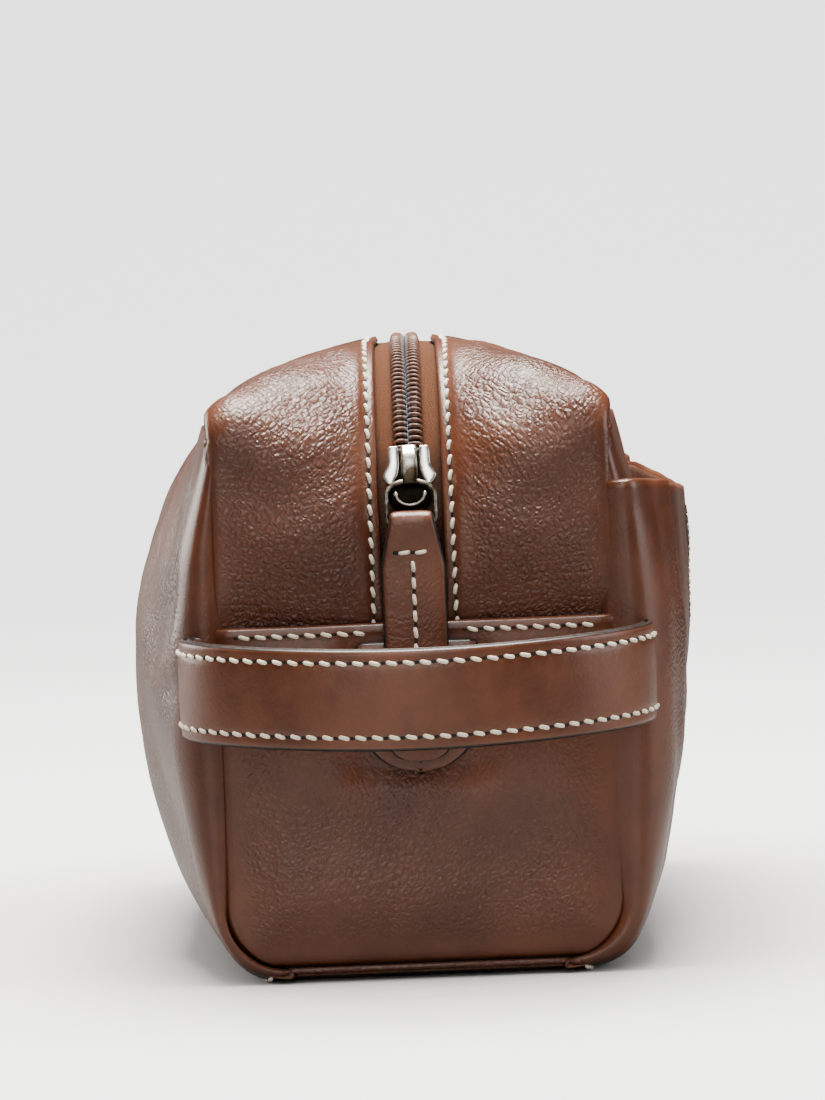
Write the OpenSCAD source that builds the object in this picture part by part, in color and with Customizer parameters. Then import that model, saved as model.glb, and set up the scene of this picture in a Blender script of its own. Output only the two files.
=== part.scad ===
// Leather shaving kit bag: a soft box of five leather panels, with a zipped top of two strips
// that run down both ends, a slip pocket on the front and a strap handle on the left end.
// X runs along the bag, -Y is the pocket side, +Z is up. The origin is the middle of the base,
// on the face that the bag stands on. Lengths are in millimetres.

/* [Bag body] */
// Length between the outer faces of the two end panels
body_l = 255; // [205:1:310]
// Height of the seams between the top strips and the front and back panels
eave_z = 150; // [125:1:185]
// Rise from those seams to the leather beside the zip
ridge_rise = 21.2; // [12:0.1:30]
// Width of the base strip between its lapped seams
base_w = 82; // [60:1:96]
// Width of an end panel between its side seams
end_w = 109; // [96:1:120]
// Width between the two top seams at the middle of the bag
eave_w = 112; // [100:1:126]
// Half width of the front panel at its fullest
front_belly = 73.5; // [68:0.5:80]
// Height at which the front panel is fullest
front_belly_z = 80; // [60:1:95]
// Half width of the back panel at its fullest
back_belly = 81; // [70:0.5:92]
// Height at which the back panel is fullest
back_belly_z = 92; // [60:1:100]
// Half width of the body just behind the roll of the end seams
end_belly = 66.5; // [62:0.5:68]
// Height at which the body is fullest there
end_belly_z = 80; // [60:1:95]
// Depth of the rolled edge round each end panel
roll = 12; // [8:0.5:16]
// Radius of the lower corners of an end panel
end_corner_r = 17; // [12:1:24]
// Height of the end panel's lower seam
end_seam_z = 4; // [2:0.5:7]

/* [Leather and lining] */
// Thickness of the leather
leather_t = 2; // [1.2:0.1:3]
// Thickness of the lining cloth
lining_t = 0.8; // [0.4:0.1:1.2]
// Thickness of the board that stiffens the base
board_t = 1.5; // [1:0.1:3]

/* [Zipped top] */
// Gap between the leather edges beside the zip
zip_gap = 18; // [16:0.5:24]
// Radius of the shoulder that the zip runs over at each end
shoulder_r = 58; // [44:1:64]
// Radius of the same shoulder at the outer seam
seam_shoulder_r = 6; // [4:0.5:14]
// Straight run of the strips below the shoulder, down to the end panel
strip_drop = 18.2; // [8:0.1:30]
// Width of the closed zip chain
chain_w = 9.7; // [7:0.1:10]
// Height of the zip coil above the leather's top face
coil_proud = 1.4; // [0.8:0.1:2]
// Thickness of the zip tape
tape_t = 0.8; // [0.5:0.1:1.2]
// Width of the leather tab that covers each end of the zip
end_tab_w = 31; // [24:1:40]
// Length of that tab
end_tab_l = 39; // [32:1:50]

/* [Slider and pull] */
// Angle up the shoulder from the horizontal to the slider's lower end, with the zip closed
slider_angle = 12.5; // [10:0.5:30]
// Length of the slider round the shoulder
slider_l = 17; // [15:0.5:24]
// Thickness of the slider's plates
slider_t = 1.8; // [1.4:0.1:2]
// Thickness of the pull ring's wire
wire_d = 1.5; // [1.2:0.1:1.8]
// Drop of the pull ring from its pin to its lower bar
bail_drop = 10.9; // [10:0.1:14]
// Length of the leather pull tab below the ring's bar
pull_l = 63.5; // [45:0.5:70]
// Width of the pull tab
pull_w = 16; // [12:0.5:16]
// Thickness of one layer of the pull tab
pull_t = 1.7; // [1.2:0.1:1.7]

/* [Handle] */
// Width of the strap
handle_w = 25; // [18:1:30]
// Thickness of one of the strap's two layers
handle_layer = 1.8; // [1:0.1:2.2]
// Reach of the strap's middle out of the end panel, to its outer face
handle_reach = 43.3; // [34:0.1:50]
// Half width of the bow, at the middle of the strap's thickness
handle_half = 61.5; // [60:0.5:66]
// Depth of the strap's centreline below the end panel's top edge
handle_drop = 13.5; // [13:0.5:24]

/* [Pocket] */
// Depth of the pocket mouth's ends below the top seam
pocket_drop = 19; // [12:1:40]
// Sag of the mouth's middle below its ends
pocket_sag = 10; // [0:0.5:14]
// Height at which the pocket leaves the front panel
pocket_foot = 44; // [30:1:60]
// Gape of the mouth at the middle
pocket_gape = 13.5; // [8:0.5:18]
// Width of the blank leather label
label_w = 46; // [30:1:70]
// Height of the label
label_h = 34; // [20:1:40]
// Thickness of the label
label_t = 1.4; // [1:0.1:2]

/* [Hidden] */
$fn = 48;

leather_red = "#6b4032";
leather_light = "#7b4b3a";
tape_brown = "#7a4426";
coil_brown = "#4a2c20";
brass = "#8a7448";
cloth_tan = "#8f7a62";
board_grey = "#6d655c";

gap = 0.3;                    // clearance between bodies that move past each other
half_l = body_l / 2;
top_z = eave_z + ridge_rise;
shoulder_x = half_l - shoulder_r;
shoulder_z = top_z - shoulder_r;
split_z = shoulder_z - strip_drop;     // top edge of the end panels
flap_half = shoulder_x - 3.5;          // the mouth ends short of the shoulders
slit = gap + 0.5;                      // half the slit between the zip's two halves
lining_in = leather_t + board_t + 0.1; // depth of the lining behind the leather's outer face
corner_power = 2.3;                    // squareness of the body's lower corners
seam_slack = 0.05;            // play in a seam between two faceted panels
pocket_slack = 0.2;           // and between the pocket and the front panel under it
eps = 0.01;

// Stations along the bag, closer together round the rolled edges
roll_steps = [0, 0.05, 0.2, 0.46, 1];
inner_half = half_l - roll;
stations = concat(
    [for (s = roll_steps) -half_l + roll * s],
    [for (i = [1:11]) -inner_half + inner_half * i / 6],
    [for (i = [4:-1:0]) half_l - roll * roll_steps[i]]);
// Levels up a side panel: round the lower corner, then up to the top seam
levels = concat([for (j = [0:5]) j / 10], [for (j = [1:10]) 0.5 + j / 20]);
corner_z = end_seam_z + end_corner_r;

function mix(a, b, t) = a + (b - a) * t;
function clamp01(t) = max(0, min(1, t));
function unit(v) = v / norm(v);

// Share of the roll's depth that is reached at x
function rolled(x) = let (d = half_l - abs(x))
    d >= roll ? 1 : sqrt(1 - pow(1 - max(0, d) / roll, 2));
// Share of the belly that is reached at x
function bellied(x) = 1 - pow(clamp01(abs(x) / inner_half), 2.4);

// Outline of the end seam, from the base (k = 0) round the corner and up to the top seam (k = 1)
function seam_point(k) = k <= 0.5
    ? [end_w / 2 - end_corner_r * (1 - sin(180 * k)), end_seam_z + end_corner_r * (1 - cos(180 * k))]
    : [end_w / 2, height_at(k)];
function height_at(k) = mix(corner_z, eave_z, 2 * k - 1);
function level_at(z) = 0.5 + 0.5 * (z - corner_z) / (eave_z - corner_z);
// Outline of the body between the rolls, for a belly of half width b at height z
function body_point(b, z, k) = k <= 0.5
    ? let (turn = 2 * k * acos(pow(1 - corner_z / z, corner_power / 2)))
        [mix(base_w / 2, b, pow(sin(turn), 2 / corner_power)), z * (1 - pow(cos(turn), 2 / corner_power))]
    : let (h = height_at(k))
        [h < z ? mix(base_w / 2, b, pow(1 - pow(1 - h / z, corner_power), 1 / corner_power))
               : mix(b, eave_w / 2, pow((h - z) / (eave_z - z), 1.7)), h];
// Point on the outer face of a side panel; side is -1 for the front and 1 for the back
function side_point(side, x, k) = let (
        belly = side < 0 ? front_belly : back_belly,
        belly_z = side < 0 ? front_belly_z : back_belly_z,
        f = bellied(x),
        body = body_point(mix(end_belly, belly, f), mix(end_belly_z, belly_z, f), k),
        p = mix(seam_point(k), body, rolled(x)))
    [x, side * p[0], p[1]];
function side_normal(side, x, k) = let (
        x0 = max(-half_l, x - eps), x1 = min(half_l, x + eps),
        k0 = max(0.001, k - eps), k1 = min(1, k + eps))
    unit(side * cross(side_point(side, x, k1) - side_point(side, x, k0),
                      side_point(side, x1, max(k, 0.001)) - side_point(side, x0, max(k, 0.001))));
function side_offset(side, x, k, depth) = side_point(side, x, k) - depth * side_normal(side, x, k);

// Closed shell between two grids of points of the same size; flip turns it the other way out
module shell(outer, inner, flip = false) {
    n = len(outer);
    m = len(outer[0]);
    size = n * m;
    points = concat([for (r = outer) each r], [for (r = inner) each r]);
    at = function (i, j) i * m + j;
    faces = concat(
        [for (i = [0:n - 2], j = [0:m - 2]) [at(i, j), at(i + 1, j), at(i + 1, j + 1), at(i, j + 1)]],
        [for (i = [0:n - 2], j = [0:m - 2])
            [size + at(i, j), size + at(i, j + 1), size + at(i + 1, j + 1), size + at(i + 1, j)]],
        [for (i = [0:n - 2]) [at(i, 0), size + at(i, 0), size + at(i + 1, 0), at(i + 1, 0)]],
        [for (i = [0:n - 2])
            [at(i, m - 1), at(i + 1, m - 1), size + at(i + 1, m - 1), size + at(i, m - 1)]],
        [for (j = [0:m - 2]) [at(0, j), at(0, j + 1), size + at(0, j + 1), size + at(0, j)]],
        [for (j = [0:m - 2])
            [at(n - 1, j), size + at(n - 1, j), size + at(n - 1, j + 1), at(n - 1, j + 1)]]);
    polyhedron(points, flip ? [for (f = faces) [for (i = [len(f) - 1:-1:0]) f[i]]] : faces,
               convexity = 6);
}

module side_panel(side) {
    shell([for (x = stations) [for (k = levels) side_point(side, x, k)]],
          [for (x = stations) [for (k = levels) side_offset(side, x, k, leather_t)]], side > 0);
}

module front_panel() { color(leather_light) side_panel(-1); }
module back_panel() { color(leather_light) side_panel(1); }

// The base strip rises into the end seams and narrows with the side panels there
module base_panel() {
    edge = [for (x = stations) [x, side_point(1, x, 0)[1] - seam_slack]];
    rise = [for (x = stations) [x, side_point(1, x, 0)[2]]];
    color(leather_red) difference() {
        intersection() {
            linear_extrude(2 * end_seam_z + leather_t)
                polygon(concat(edge, [for (i = [len(edge) - 1:-1:0]) [edge[i][0], -edge[i][1]]]));
            translate([0, base_w, 0]) rotate([90, 0, 0]) linear_extrude(2 * base_w)
                polygon(concat(rise,
                               [for (i = [len(rise) - 1:-1:0]) [rise[i][0], rise[i][1] + leather_t]]));
        }
        for (s = [-1, 1]) translate([s * half_l, 0, end_seam_z + leather_t])
            cube([2 * leather_t + seam_slack, base_w, 2 * leather_t], center = true);
    }
}

// An upright plate across the bag: a YZ outline, from x = 0 to x = thickness
module upright(thickness) {
    rotate([90, 0, 90]) linear_extrude(thickness) children();
}

module end_outline(inset) {
    arc = [for (k = levels) if (k <= 0.5) seam_point(k)];
    offsets = [for (p = arc) [p[0] - inset, p[1] + inset]];
    right = concat(offsets, [[end_w / 2 - inset, split_z]]);
    polygon(concat(right, [for (i = [len(right) - 1:-1:0]) [-right[i][0], right[i][1]]]));
}

module end_panel() { translate([-half_l, 0, 0]) upright(leather_t) end_outline(0); }
module end_panel_left() { color(leather_red) end_panel(); }
module end_panel_right() { color(leather_red) mirror([1, 0, 0]) end_panel(); }

// The top strips. w runs across a strip, from the zip edge (0) to the outer seam (1), and
// below 0 over the zip itself; q runs along it, from the end panel up and over the shoulder.
function strip_y(w, q) = let (outer = mix(end_w / 2, eave_w / 2, clamp01(2 * q - 0.6)))
    zip_gap / 2 + (outer - zip_gap / 2) * w;
function strip_top(w) = let (t = max(0, w))
    top_z - ridge_rise * (0.77 * t + 0.23 * (1 - sqrt(1 - pow(t, 8))));
function strip_point(w, q) = let (
        r = mix(shoulder_r, seam_shoulder_r, clamp01(w)), z = strip_top(w), y = strip_y(w, q),
        a = 90 * clamp01((q - 0.2) / 0.65))
    q < 0.2 ? [-half_l, y, mix(split_z, z - r, q / 0.2)]
    : q <= 0.85 ? [-half_l + r * (1 - cos(a)), y, z - r * (1 - sin(a))]
    : [mix(-half_l + r, -flap_half - gap, (q - 0.85) / 0.15), y, z];
function strip_offset(w, q, depth) = let (
        w0 = w - 0.002, w1 = min(1, w + 0.002), q0 = max(0, q - 0.002), q1 = min(1, q + 0.002),
        n = unit(cross(strip_point(w1, q) - strip_point(w0, q),
                       strip_point(w, q1) - strip_point(w, q0))))
    strip_point(w, q) + depth * n;
along = concat([0, 0.1], [for (i = [0:12]) 0.2 + 0.65 * i / 12], [0.92, 1]);
across = [0, 0.15, 0.3, 0.45, 0.6, 0.72, 0.82, 0.9, 0.95, 0.98, 1];

module strip(ws, depth0, depth1) {
    shell([for (w = ws) [for (q = along) strip_offset(w, q, depth0)]],
          [for (w = ws) [for (q = along) strip_offset(w, q, depth1)]], true);
}

module shoulder() { strip(across, 0, leather_t); }
module shoulder_back_left() { color(leather_red) shoulder(); }
module shoulder_front_left() { color(leather_light) mirror([0, 1, 0]) shoulder(); }
module shoulder_back_right() { color(leather_red) mirror([1, 0, 0]) shoulder(); }
module shoulder_front_right() { color(leather_light) mirror([1, 0, 0]) mirror([0, 1, 0]) shoulder(); }

strip_w = end_w / 2 - zip_gap / 2;
slit_w = (slit - zip_gap / 2) / strip_w;
chain_edge_w = (chain_w / 2 - zip_gap / 2) / strip_w;

module both_sides() {
    children();
    mirror([0, 1, 0]) children();
}

module zip_tape_end() { both_sides() strip([slit_w, 0, 0.08], leather_t, leather_t + tape_t); }
module zip_coil_end() { both_sides() strip([slit_w, chain_edge_w], -coil_proud, leather_t); }
module zip_tape_left() { color(tape_brown) zip_tape_end(); }
module zip_tape_right() { color(tape_brown) mirror([1, 0, 0]) zip_tape_end(); }
module zip_coil_left() { color(coil_brown) zip_coil_end(); }
module zip_coil_right() { color(coil_brown) mirror([1, 0, 0]) zip_coil_end(); }

// A piece of a ring about the left shoulder's axis, angles measured up from the end face
module arc_piece(from, to, r0, r1, y0, y1) {
    translate([-shoulder_x, 0, shoulder_z]) rotate([90, 0, 0]) rotate([0, 0, 180 - to])
        rotate_extrude(angle = to - from, $fn = 180)
            translate([r0, -y1]) square([r1 - r0, y1 - y0]);
}

coil_r = shoulder_r + coil_proud;
stop_angle = slider_angle - 5;
module zip_stop() {
    arc_piece(stop_angle, stop_angle + 3, coil_r, coil_r + 1.4, -chain_w / 2, chain_w / 2);
}
module zip_stop_left() { color(brass) zip_stop(); }
module zip_stop_right() { color(brass) mirror([1, 0, 0]) zip_stop(); }

module zip_end_tab() {
    translate([-half_l - leather_t, 0, split_z]) upright(leather_t) {
        translate([-end_tab_w / 2, -end_tab_l + end_tab_w / 2])
            square([end_tab_w, end_tab_l - end_tab_w / 2]);
        translate([0, -end_tab_l + end_tab_w / 2]) circle(d = end_tab_w);
    }
}
module zip_end_tab_left() { color(leather_red) zip_end_tab(); }
module zip_end_tab_right() { color(leather_red) mirror([1, 0, 0]) zip_end_tab(); }

// Mouth flaps: the middle of each top strip, with its tape, coil and lining
flap_ws = concat([for (i = [0:9]) i / 10], [0.94, 0.97, 1]);
function flap_y(w) = zip_gap / 2 + (eave_w / 2 - zip_gap / 2) * w;
function flap_under(w, depth) = [
    flap_y(w) - max(0, w - 0.8) / 0.2 * depth, max(eave_z + gap, strip_top(w) - depth)];

module flap_section(from, depth0, depth1) {
    ws = [for (w = flap_ws) if (w >= from) w];
    last = len(ws) - 1;
    translate([-flap_half, 0, 0]) upright(2 * flap_half)
        polygon(concat([for (w = ws) flap_under(w, depth0)],
                       [for (i = [last:-1:0]) flap_under(ws[i], depth1)]));
}
module flap_leather() { flap_section(0, 0, leather_t); }
module flap_lining() { flap_section(0.2, leather_t, leather_t + lining_t); }
module flap_tape() {
    lap = flap_under(0.1, leather_t);
    flat_z = top_z - leather_t;
    translate([-flap_half, 0, 0]) upright(2 * flap_half)
        polygon([[slit, flat_z], [zip_gap / 2, flat_z], lap, lap - [0, tape_t],
                 [zip_gap / 2, flat_z - tape_t], [slit, flat_z - tape_t]]);
}
module flap_coil() {
    translate([-flap_half, slit, top_z - leather_t])
        cube([2 * flap_half, chain_w / 2 - slit, leather_t + coil_proud]);
}
module flap_back() { color(leather_red) flap_leather(); }
module flap_back_tape() { color(tape_brown) flap_tape(); }
module flap_back_coil() { color(coil_brown) flap_coil(); }
module flap_back_lining() { color(cloth_tan) flap_lining(); }
module flap_front() { color(leather_light) mirror([0, 1, 0]) flap_leather(); }
module flap_front_tape() { color(tape_brown) mirror([0, 1, 0]) flap_tape(); }
module flap_front_coil() { color(coil_brown) mirror([0, 1, 0]) flap_coil(); }
module flap_front_lining() { color(cloth_tan) mirror([0, 1, 0]) flap_lining(); }

// Pocket: follows the front panel up to its foot, then stands off it towards the mouth
pocket_half = half_l - 0.2 * roll;
pocket_start = 0.3;
function mouth_z(x) = eave_z - pocket_drop - pocket_sag * (1 - pow(x / pocket_half, 2));
function stand_off(x, z) = pocket_gape * pow(clamp01(1 - pow(x / pocket_half, 2)), 0.8)
    * pow(clamp01((z - pocket_foot) / (mouth_z(x) - pocket_foot)), 1.3);
function pocket_point(x, k, out) = let (p = side_point(-1, x, k))
    p + (stand_off(x, p[2]) + out) * side_normal(-1, x, k);
pocket_stations = [for (x = stations) if (abs(x) <= pocket_half + eps) x];

function pocket_column(x, out) =
    [for (t = levels) pocket_point(x, mix(pocket_start, level_at(mouth_z(x)), t), out)];

module pocket_panel() {
    color(leather_light) shell([for (x = pocket_stations) pocket_column(x, leather_t)],
                               [for (x = pocket_stations) pocket_column(x, pocket_slack)]);
}

label_top = eave_z - pocket_drop - pocket_sag - 5;
module label_patch() {
    xs = [for (i = [-3:3]) i * label_w / 6];
    ks = [for (j = [0:6]) level_at(mix(label_top - label_h, label_top, j / 6))];
    color(leather_red)
        shell([for (x = xs) [for (k = ks) pocket_point(x, k, leather_t + label_t)]],
              [for (x = xs) [for (k = ks) pocket_point(x, k, leather_t)]]);
}

// Lining: one length of cloth round the front, base and back, and a piece at each end
module body_lining() {
    xs = [for (x = stations) if (half_l - abs(x) >= roll - eps) x];
    last = len(levels) - 1;
    wrap = function (x, depth) concat(
        [for (i = [last:-1:0]) side_offset(-1, x, levels[i], depth)],
        [for (k = levels) side_offset(1, x, k, depth)]);
    color(cloth_tan)
        shell([for (x = xs) wrap(x, lining_in)], [for (x = xs) wrap(x, lining_in + lining_t)]);
}
module end_lining() {
    inset = 2.5 * leather_t;
    translate([-half_l + leather_t + board_t, 0, 0]) upright(lining_t) end_outline(inset);
}
module end_lining_left() { color(cloth_tan) end_lining(); }
module end_lining_right() { color(cloth_tan) mirror([1, 0, 0]) end_lining(); }

module base_board() {
    board = [2 * (inner_half - 1), base_w - 4];
    color(board_grey) translate([-board[0] / 2, -board[1] / 2, leather_t])
        cube([board[0], board[1], board_t]);
}

// Handle: a bowed strap that swings about the line between its two roots in the end seams
handle_z = split_z - handle_drop;
bow_x = -half_l - handle_layer - 0.2;
bow_depth = handle_reach - handle_layer - 0.2 - handle_layer;
root_r = norm([handle_w / 2, 9]);

function bow(a, out) = [bow_x - (bow_depth + out) * cos(a), (handle_half + out) * sin(a)];
module bow_strap(out0, out1) {
    translate([0, 0, handle_z - handle_w / 2]) linear_extrude(handle_w)
        polygon(concat([for (a = [-90:5:90]) bow(a, out1)], [for (a = [90:-5:-90]) bow(a, out0)]));
}
module root_cut(r) {
    translate([-half_l, 0, handle_z]) rotate([90, 0, 0])
        cylinder(r = r, h = 3 * handle_half, center = true, $fn = 96);
}
module handle_layer_piece(out0, out1) {
    difference() { bow_strap(out0, out1); root_cut(root_r + gap); }
}
module handle_face() { color(leather_red) handle_layer_piece(0, handle_layer); }
module handle_backing() { color(leather_light) handle_layer_piece(-handle_layer, 0); }

module handle_end() {
    intersection() {
        union() {
            bow_strap(-handle_layer, handle_layer);
            translate([-half_l - 2 * handle_layer - 0.2, end_w / 2 - 1, handle_z - handle_w / 2])
                cube([2 * handle_layer + 0.2, handle_half + handle_layer - end_w / 2 + 1, handle_w]);
        }
        root_cut(root_r);
        translate([-2 * body_l, 0, 0]) cube([2 * body_l - half_l, body_l, 2 * eave_z]);
    }
}
module handle_end_back() { color(leather_red) handle_end(); }
module handle_end_front() { color(leather_red) mirror([0, 1, 0]) handle_end(); }

// Slider: two plates over and under the zip, joined by a post through the slit
plate_in = coil_r + gap + 0.1;
plate_out = plate_in + slider_t;
under_out = shoulder_r - leather_t - tape_t - gap - 0.3;
under_in = under_out - slider_t;
slider_half = chain_w / 2 + gap + 1.25;
slider_turn = slider_l / plate_in * 180 / PI;
slider_top_angle = slider_angle + slider_turn;

module slider_body() {
    color(brass) {
        arc_piece(slider_angle, slider_top_angle, plate_in, plate_out, -slider_half, slider_half);
        both_sides() arc_piece(slider_angle, slider_top_angle, shoulder_r - leather_t + gap + 0.2,
                               plate_in, slider_half - 1, slider_half);
        arc_piece(slider_angle, slider_top_angle, under_in, under_out, -slider_half, slider_half);
        arc_piece(slider_angle, slider_angle + 6, under_in, plate_out, -0.5, 0.5);
    }
}

// Pin of the pull ring, under the crown
pin_angle = slider_angle + 0.4 * slider_turn;
pin_r = plate_out + 0.35 + wire_d;
pin_x = -shoulder_x - pin_r * cos(pin_angle);
pin_z = shoulder_z + pin_r * sin(pin_angle);
crown_in = pin_r + wire_d / 2 + gap + 0.2;
crown_half = 2.4;
crown_turn = 4.5;

module slider_crown() {
    color(brass) {
        arc_piece(pin_angle - crown_turn, pin_angle + crown_turn, crown_in, crown_in + 1.5,
                  -crown_half, crown_half);
        for (a = [pin_angle - crown_turn + 0.2, pin_angle + crown_turn - 1.8])
            arc_piece(a, a + 1.6, plate_out, crown_in + 0.5, -crown_half + 0.1, crown_half - 0.1);
    }
}

// Pull ring: its pin under the crown, two legs and the lower bar that carries the tab
leg_y = slider_half + gap + 0.05 + wire_d / 2;
bar_x = -half_l - 3.4 - pull_t;
bar_z = pin_z - bail_drop;

module rod(a, b) {
    v = b - a;
    translate(a) rotate([0, acos(v[2] / norm(v)), atan2(v[1], v[0])]) cylinder(d = wire_d, h = norm(v));
}
module pull_ring() {
    color(brass) {
        rod([pin_x, -leg_y, pin_z], [pin_x, leg_y, pin_z]);
        rod([bar_x, -leg_y, bar_z], [bar_x, leg_y, bar_z]);
        for (s = [-1, 1]) {
            rod([pin_x, s * leg_y, pin_z], [bar_x, s * leg_y, bar_z]);
            for (p = [[pin_x, pin_z], [bar_x, bar_z]])
                translate([p[0], s * leg_y, p[1]]) sphere(d = 1.03 * wire_d);
        }
    }
}

// Pull tab: a strip of leather folded over the bar and sewn to itself
fold_in = wire_d / 2 + gap;
fold_out = fold_in + pull_t * 0.75;
module pull_outline() {
    corner = 3;
    polygon(concat(
        [[-pull_w * 0.31, fold_out], [-pull_w / 2, -9]],
        [for (a = [180:15:270]) [-pull_w / 2 + corner + corner * cos(a), -pull_l + corner + corner * sin(a)]],
        [for (a = [270:15:360]) [pull_w / 2 - corner + corner * cos(a), -pull_l + corner + corner * sin(a)]],
        [[pull_w / 2, -9], [pull_w * 0.31, fold_out]]));
}
module pull_layer(side, folded) {
    translate([bar_x, 0, bar_z]) difference() {
        intersection() {
            translate([-fold_out - 1, 0, 0]) upright(2 * fold_out + 2) pull_outline();
            translate([0, pull_w, 0]) rotate([90, 0, 0]) linear_extrude(2 * pull_w) {
                polygon([[0, 0], [side * fold_out, 0], [side * pull_t, -12],
                         [side * pull_t, -pull_l], [0, -pull_l]]);
                if (folded) intersection() {
                    circle(r = fold_out);
                    translate([-fold_out, 0]) square([2 * fold_out, fold_out]);
                }
            }
        }
        rotate([90, 0, 0]) cylinder(r = fold_in, h = 2 * pull_w, center = true);
    }
}
module pull_tab_face() { color(leather_light) pull_layer(-1, true); }
module pull_tab_backing() { color(leather_red) pull_layer(1, false); }

front_panel();
back_panel();
base_panel();
end_panel_left();
end_panel_right();
shoulder_front_left();
shoulder_back_left();
shoulder_front_right();
shoulder_back_right();
zip_tape_left();
zip_tape_right();
zip_coil_left();
zip_coil_right();
zip_stop_left();
zip_stop_right();
zip_end_tab_left();
zip_end_tab_right();
pocket_panel();
label_patch();
body_lining();
end_lining_left();
end_lining_right();
base_board();
handle_end_front();
handle_end_back();
flap_front();
flap_front_tape();
flap_front_coil();
flap_front_lining();
flap_back();
flap_back_tape();
flap_back_coil();
flap_back_lining();
handle_face();
handle_backing();
slider_body();
slider_crown();
pull_ring();
pull_tab_face();
pull_tab_backing();
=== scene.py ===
"""Leather shaving kit bag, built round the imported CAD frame. X runs along the bag, -Y is the
pocket side, +Z is up. Shapes are worked out in millimetres and scaled to metres as meshes."""
import math

import bpy
import numpy as np
from mathutils import Matrix, Vector


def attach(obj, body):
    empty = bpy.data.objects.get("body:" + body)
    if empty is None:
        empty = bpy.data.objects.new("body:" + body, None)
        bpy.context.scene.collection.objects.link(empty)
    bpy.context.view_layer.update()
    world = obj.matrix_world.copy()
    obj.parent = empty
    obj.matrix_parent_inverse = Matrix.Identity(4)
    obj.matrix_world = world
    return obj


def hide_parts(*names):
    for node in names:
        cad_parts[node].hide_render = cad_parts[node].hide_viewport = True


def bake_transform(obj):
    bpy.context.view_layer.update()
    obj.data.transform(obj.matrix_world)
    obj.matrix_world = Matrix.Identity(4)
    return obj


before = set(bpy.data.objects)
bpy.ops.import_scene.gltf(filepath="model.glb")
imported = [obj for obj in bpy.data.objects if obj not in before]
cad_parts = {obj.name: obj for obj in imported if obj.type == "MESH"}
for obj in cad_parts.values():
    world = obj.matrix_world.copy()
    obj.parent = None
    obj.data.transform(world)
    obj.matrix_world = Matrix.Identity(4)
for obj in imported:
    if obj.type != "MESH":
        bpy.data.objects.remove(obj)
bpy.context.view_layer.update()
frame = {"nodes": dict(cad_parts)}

MM = 0.001
X, Y, Z = np.eye(3)

# Body, as in the CAD part (millimetres)
HALF_L = 127.5
ROLL = 12.0
EAVE_Z = 150.0
RIDGE_RISE = 21.2
TOP_Z = EAVE_Z + RIDGE_RISE
BASE_HALF = 41.0
END_HALF = 54.5
EAVE_HALF = 56.0
CORNER_R = 17.0
END_SEAM_Z = 4.0
CORNER_Z = END_SEAM_Z + CORNER_R
CORNER_POWER = 2.3
BELLY = {-1: (71.5, 80.0), 1: (81.0, 92.0)}     # half width and its height, front and back
END_BELLY = (66.5, 80.0)
SPLIT_Z = 95.0
LEATHER_T = 2.0
LINING_T = 0.8

# Zipped top
ZIP_HALF = 8.7
SHOULDER_R = 58.0
SEAM_R = 6.0
SHOULDER_X = HALF_L - SHOULDER_R
SHOULDER_Z = TOP_Z - SHOULDER_R
TAPE_DEPTH = 2.0
CHAIN_HALF = 4.3
COIL_PITCH = 1.9
SPINE_DROP = SHOULDER_Z - SPLIT_Z
SPINE_ARC = SHOULDER_R * math.pi / 2
SPINE_L = SPINE_DROP + SPINE_ARC + SHOULDER_X

# Stitching
PITCH = 4.4
THREAD_R = 0.56
END_STITCH = 2.1                                 # row below an end panel's top edge


def mix(a, b, t):
    return a + (b - a) * t


def smooth(t):
    t = np.clip(t, 0, 1)
    return t * t * (3 - 2 * t)


def bump_at(t, centre, width):
    return np.exp(-((t - centre) / width) ** 2)


def unit(v):
    return v / np.maximum(np.linalg.norm(v, axis=-1, keepdims=True), 1e-9)


def ripples(points, wavelength, seed, waves=14):
    """A soft random field of about that wavelength, from -1 to 1 or so."""
    rng = np.random.default_rng(seed)
    directions = unit(rng.normal(size=(waves, 3)))
    lengths = wavelength * rng.uniform(0.7, 1.5, waves)
    phases = rng.uniform(0, 2 * math.pi, waves)
    total = np.zeros(points.shape[:-1])
    for d, length, phase in zip(directions, lengths, phases):
        total += np.sin(points @ d * (2 * math.pi / length) + phase)
    return total / math.sqrt(waves)


def grid_normals(points, flip=False):
    """Normals of a grid of points, from its neighbours."""
    n = unit(np.cross(np.gradient(points, axis=0), np.gradient(points, axis=1)))
    return -n if flip else n


# ---------------------------------------------------------------- meshes

def new_object(name, verts, faces, materials, face_materials=None, sharp=False):
    mesh = bpy.data.meshes.new(name)
    mesh.from_pydata((np.asarray(verts) * MM).tolist(), [], faces)
    for m in materials:
        mesh.materials.append(m)
    if face_materials is not None:
        mesh.polygons.foreach_set("material_index", np.asarray(face_materials, np.int32))
    mesh.polygons.foreach_set("use_smooth", [not sharp] * len(mesh.polygons))
    mesh.update()
    obj = bpy.data.objects.new(name, mesh)
    bpy.context.scene.collection.objects.link(obj)
    return obj


def set_attribute(obj, name, values):
    data = obj.data.attributes.new(name, "FLOAT", "POINT")
    data.data.foreach_set("value", np.asarray(values, np.float32))


def ring_indices(n, m):
    """Indices round the edge of an n by m grid, and the index one step inside each."""
    at = lambda i, j: i * m + j
    edge, inside = [], []
    for i in range(n):
        edge.append(at(i, 0)); inside.append(at(i, 1))
    for j in range(1, m):
        edge.append(at(n - 1, j)); inside.append(at(n - 2, j))
    for i in range(n - 2, -1, -1):
        edge.append(at(i, m - 1)); inside.append(at(i, m - 2))
    for j in range(m - 2, 0, -1):
        edge.append(at(0, j)); inside.append(at(1, j))
    return edge, inside


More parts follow.
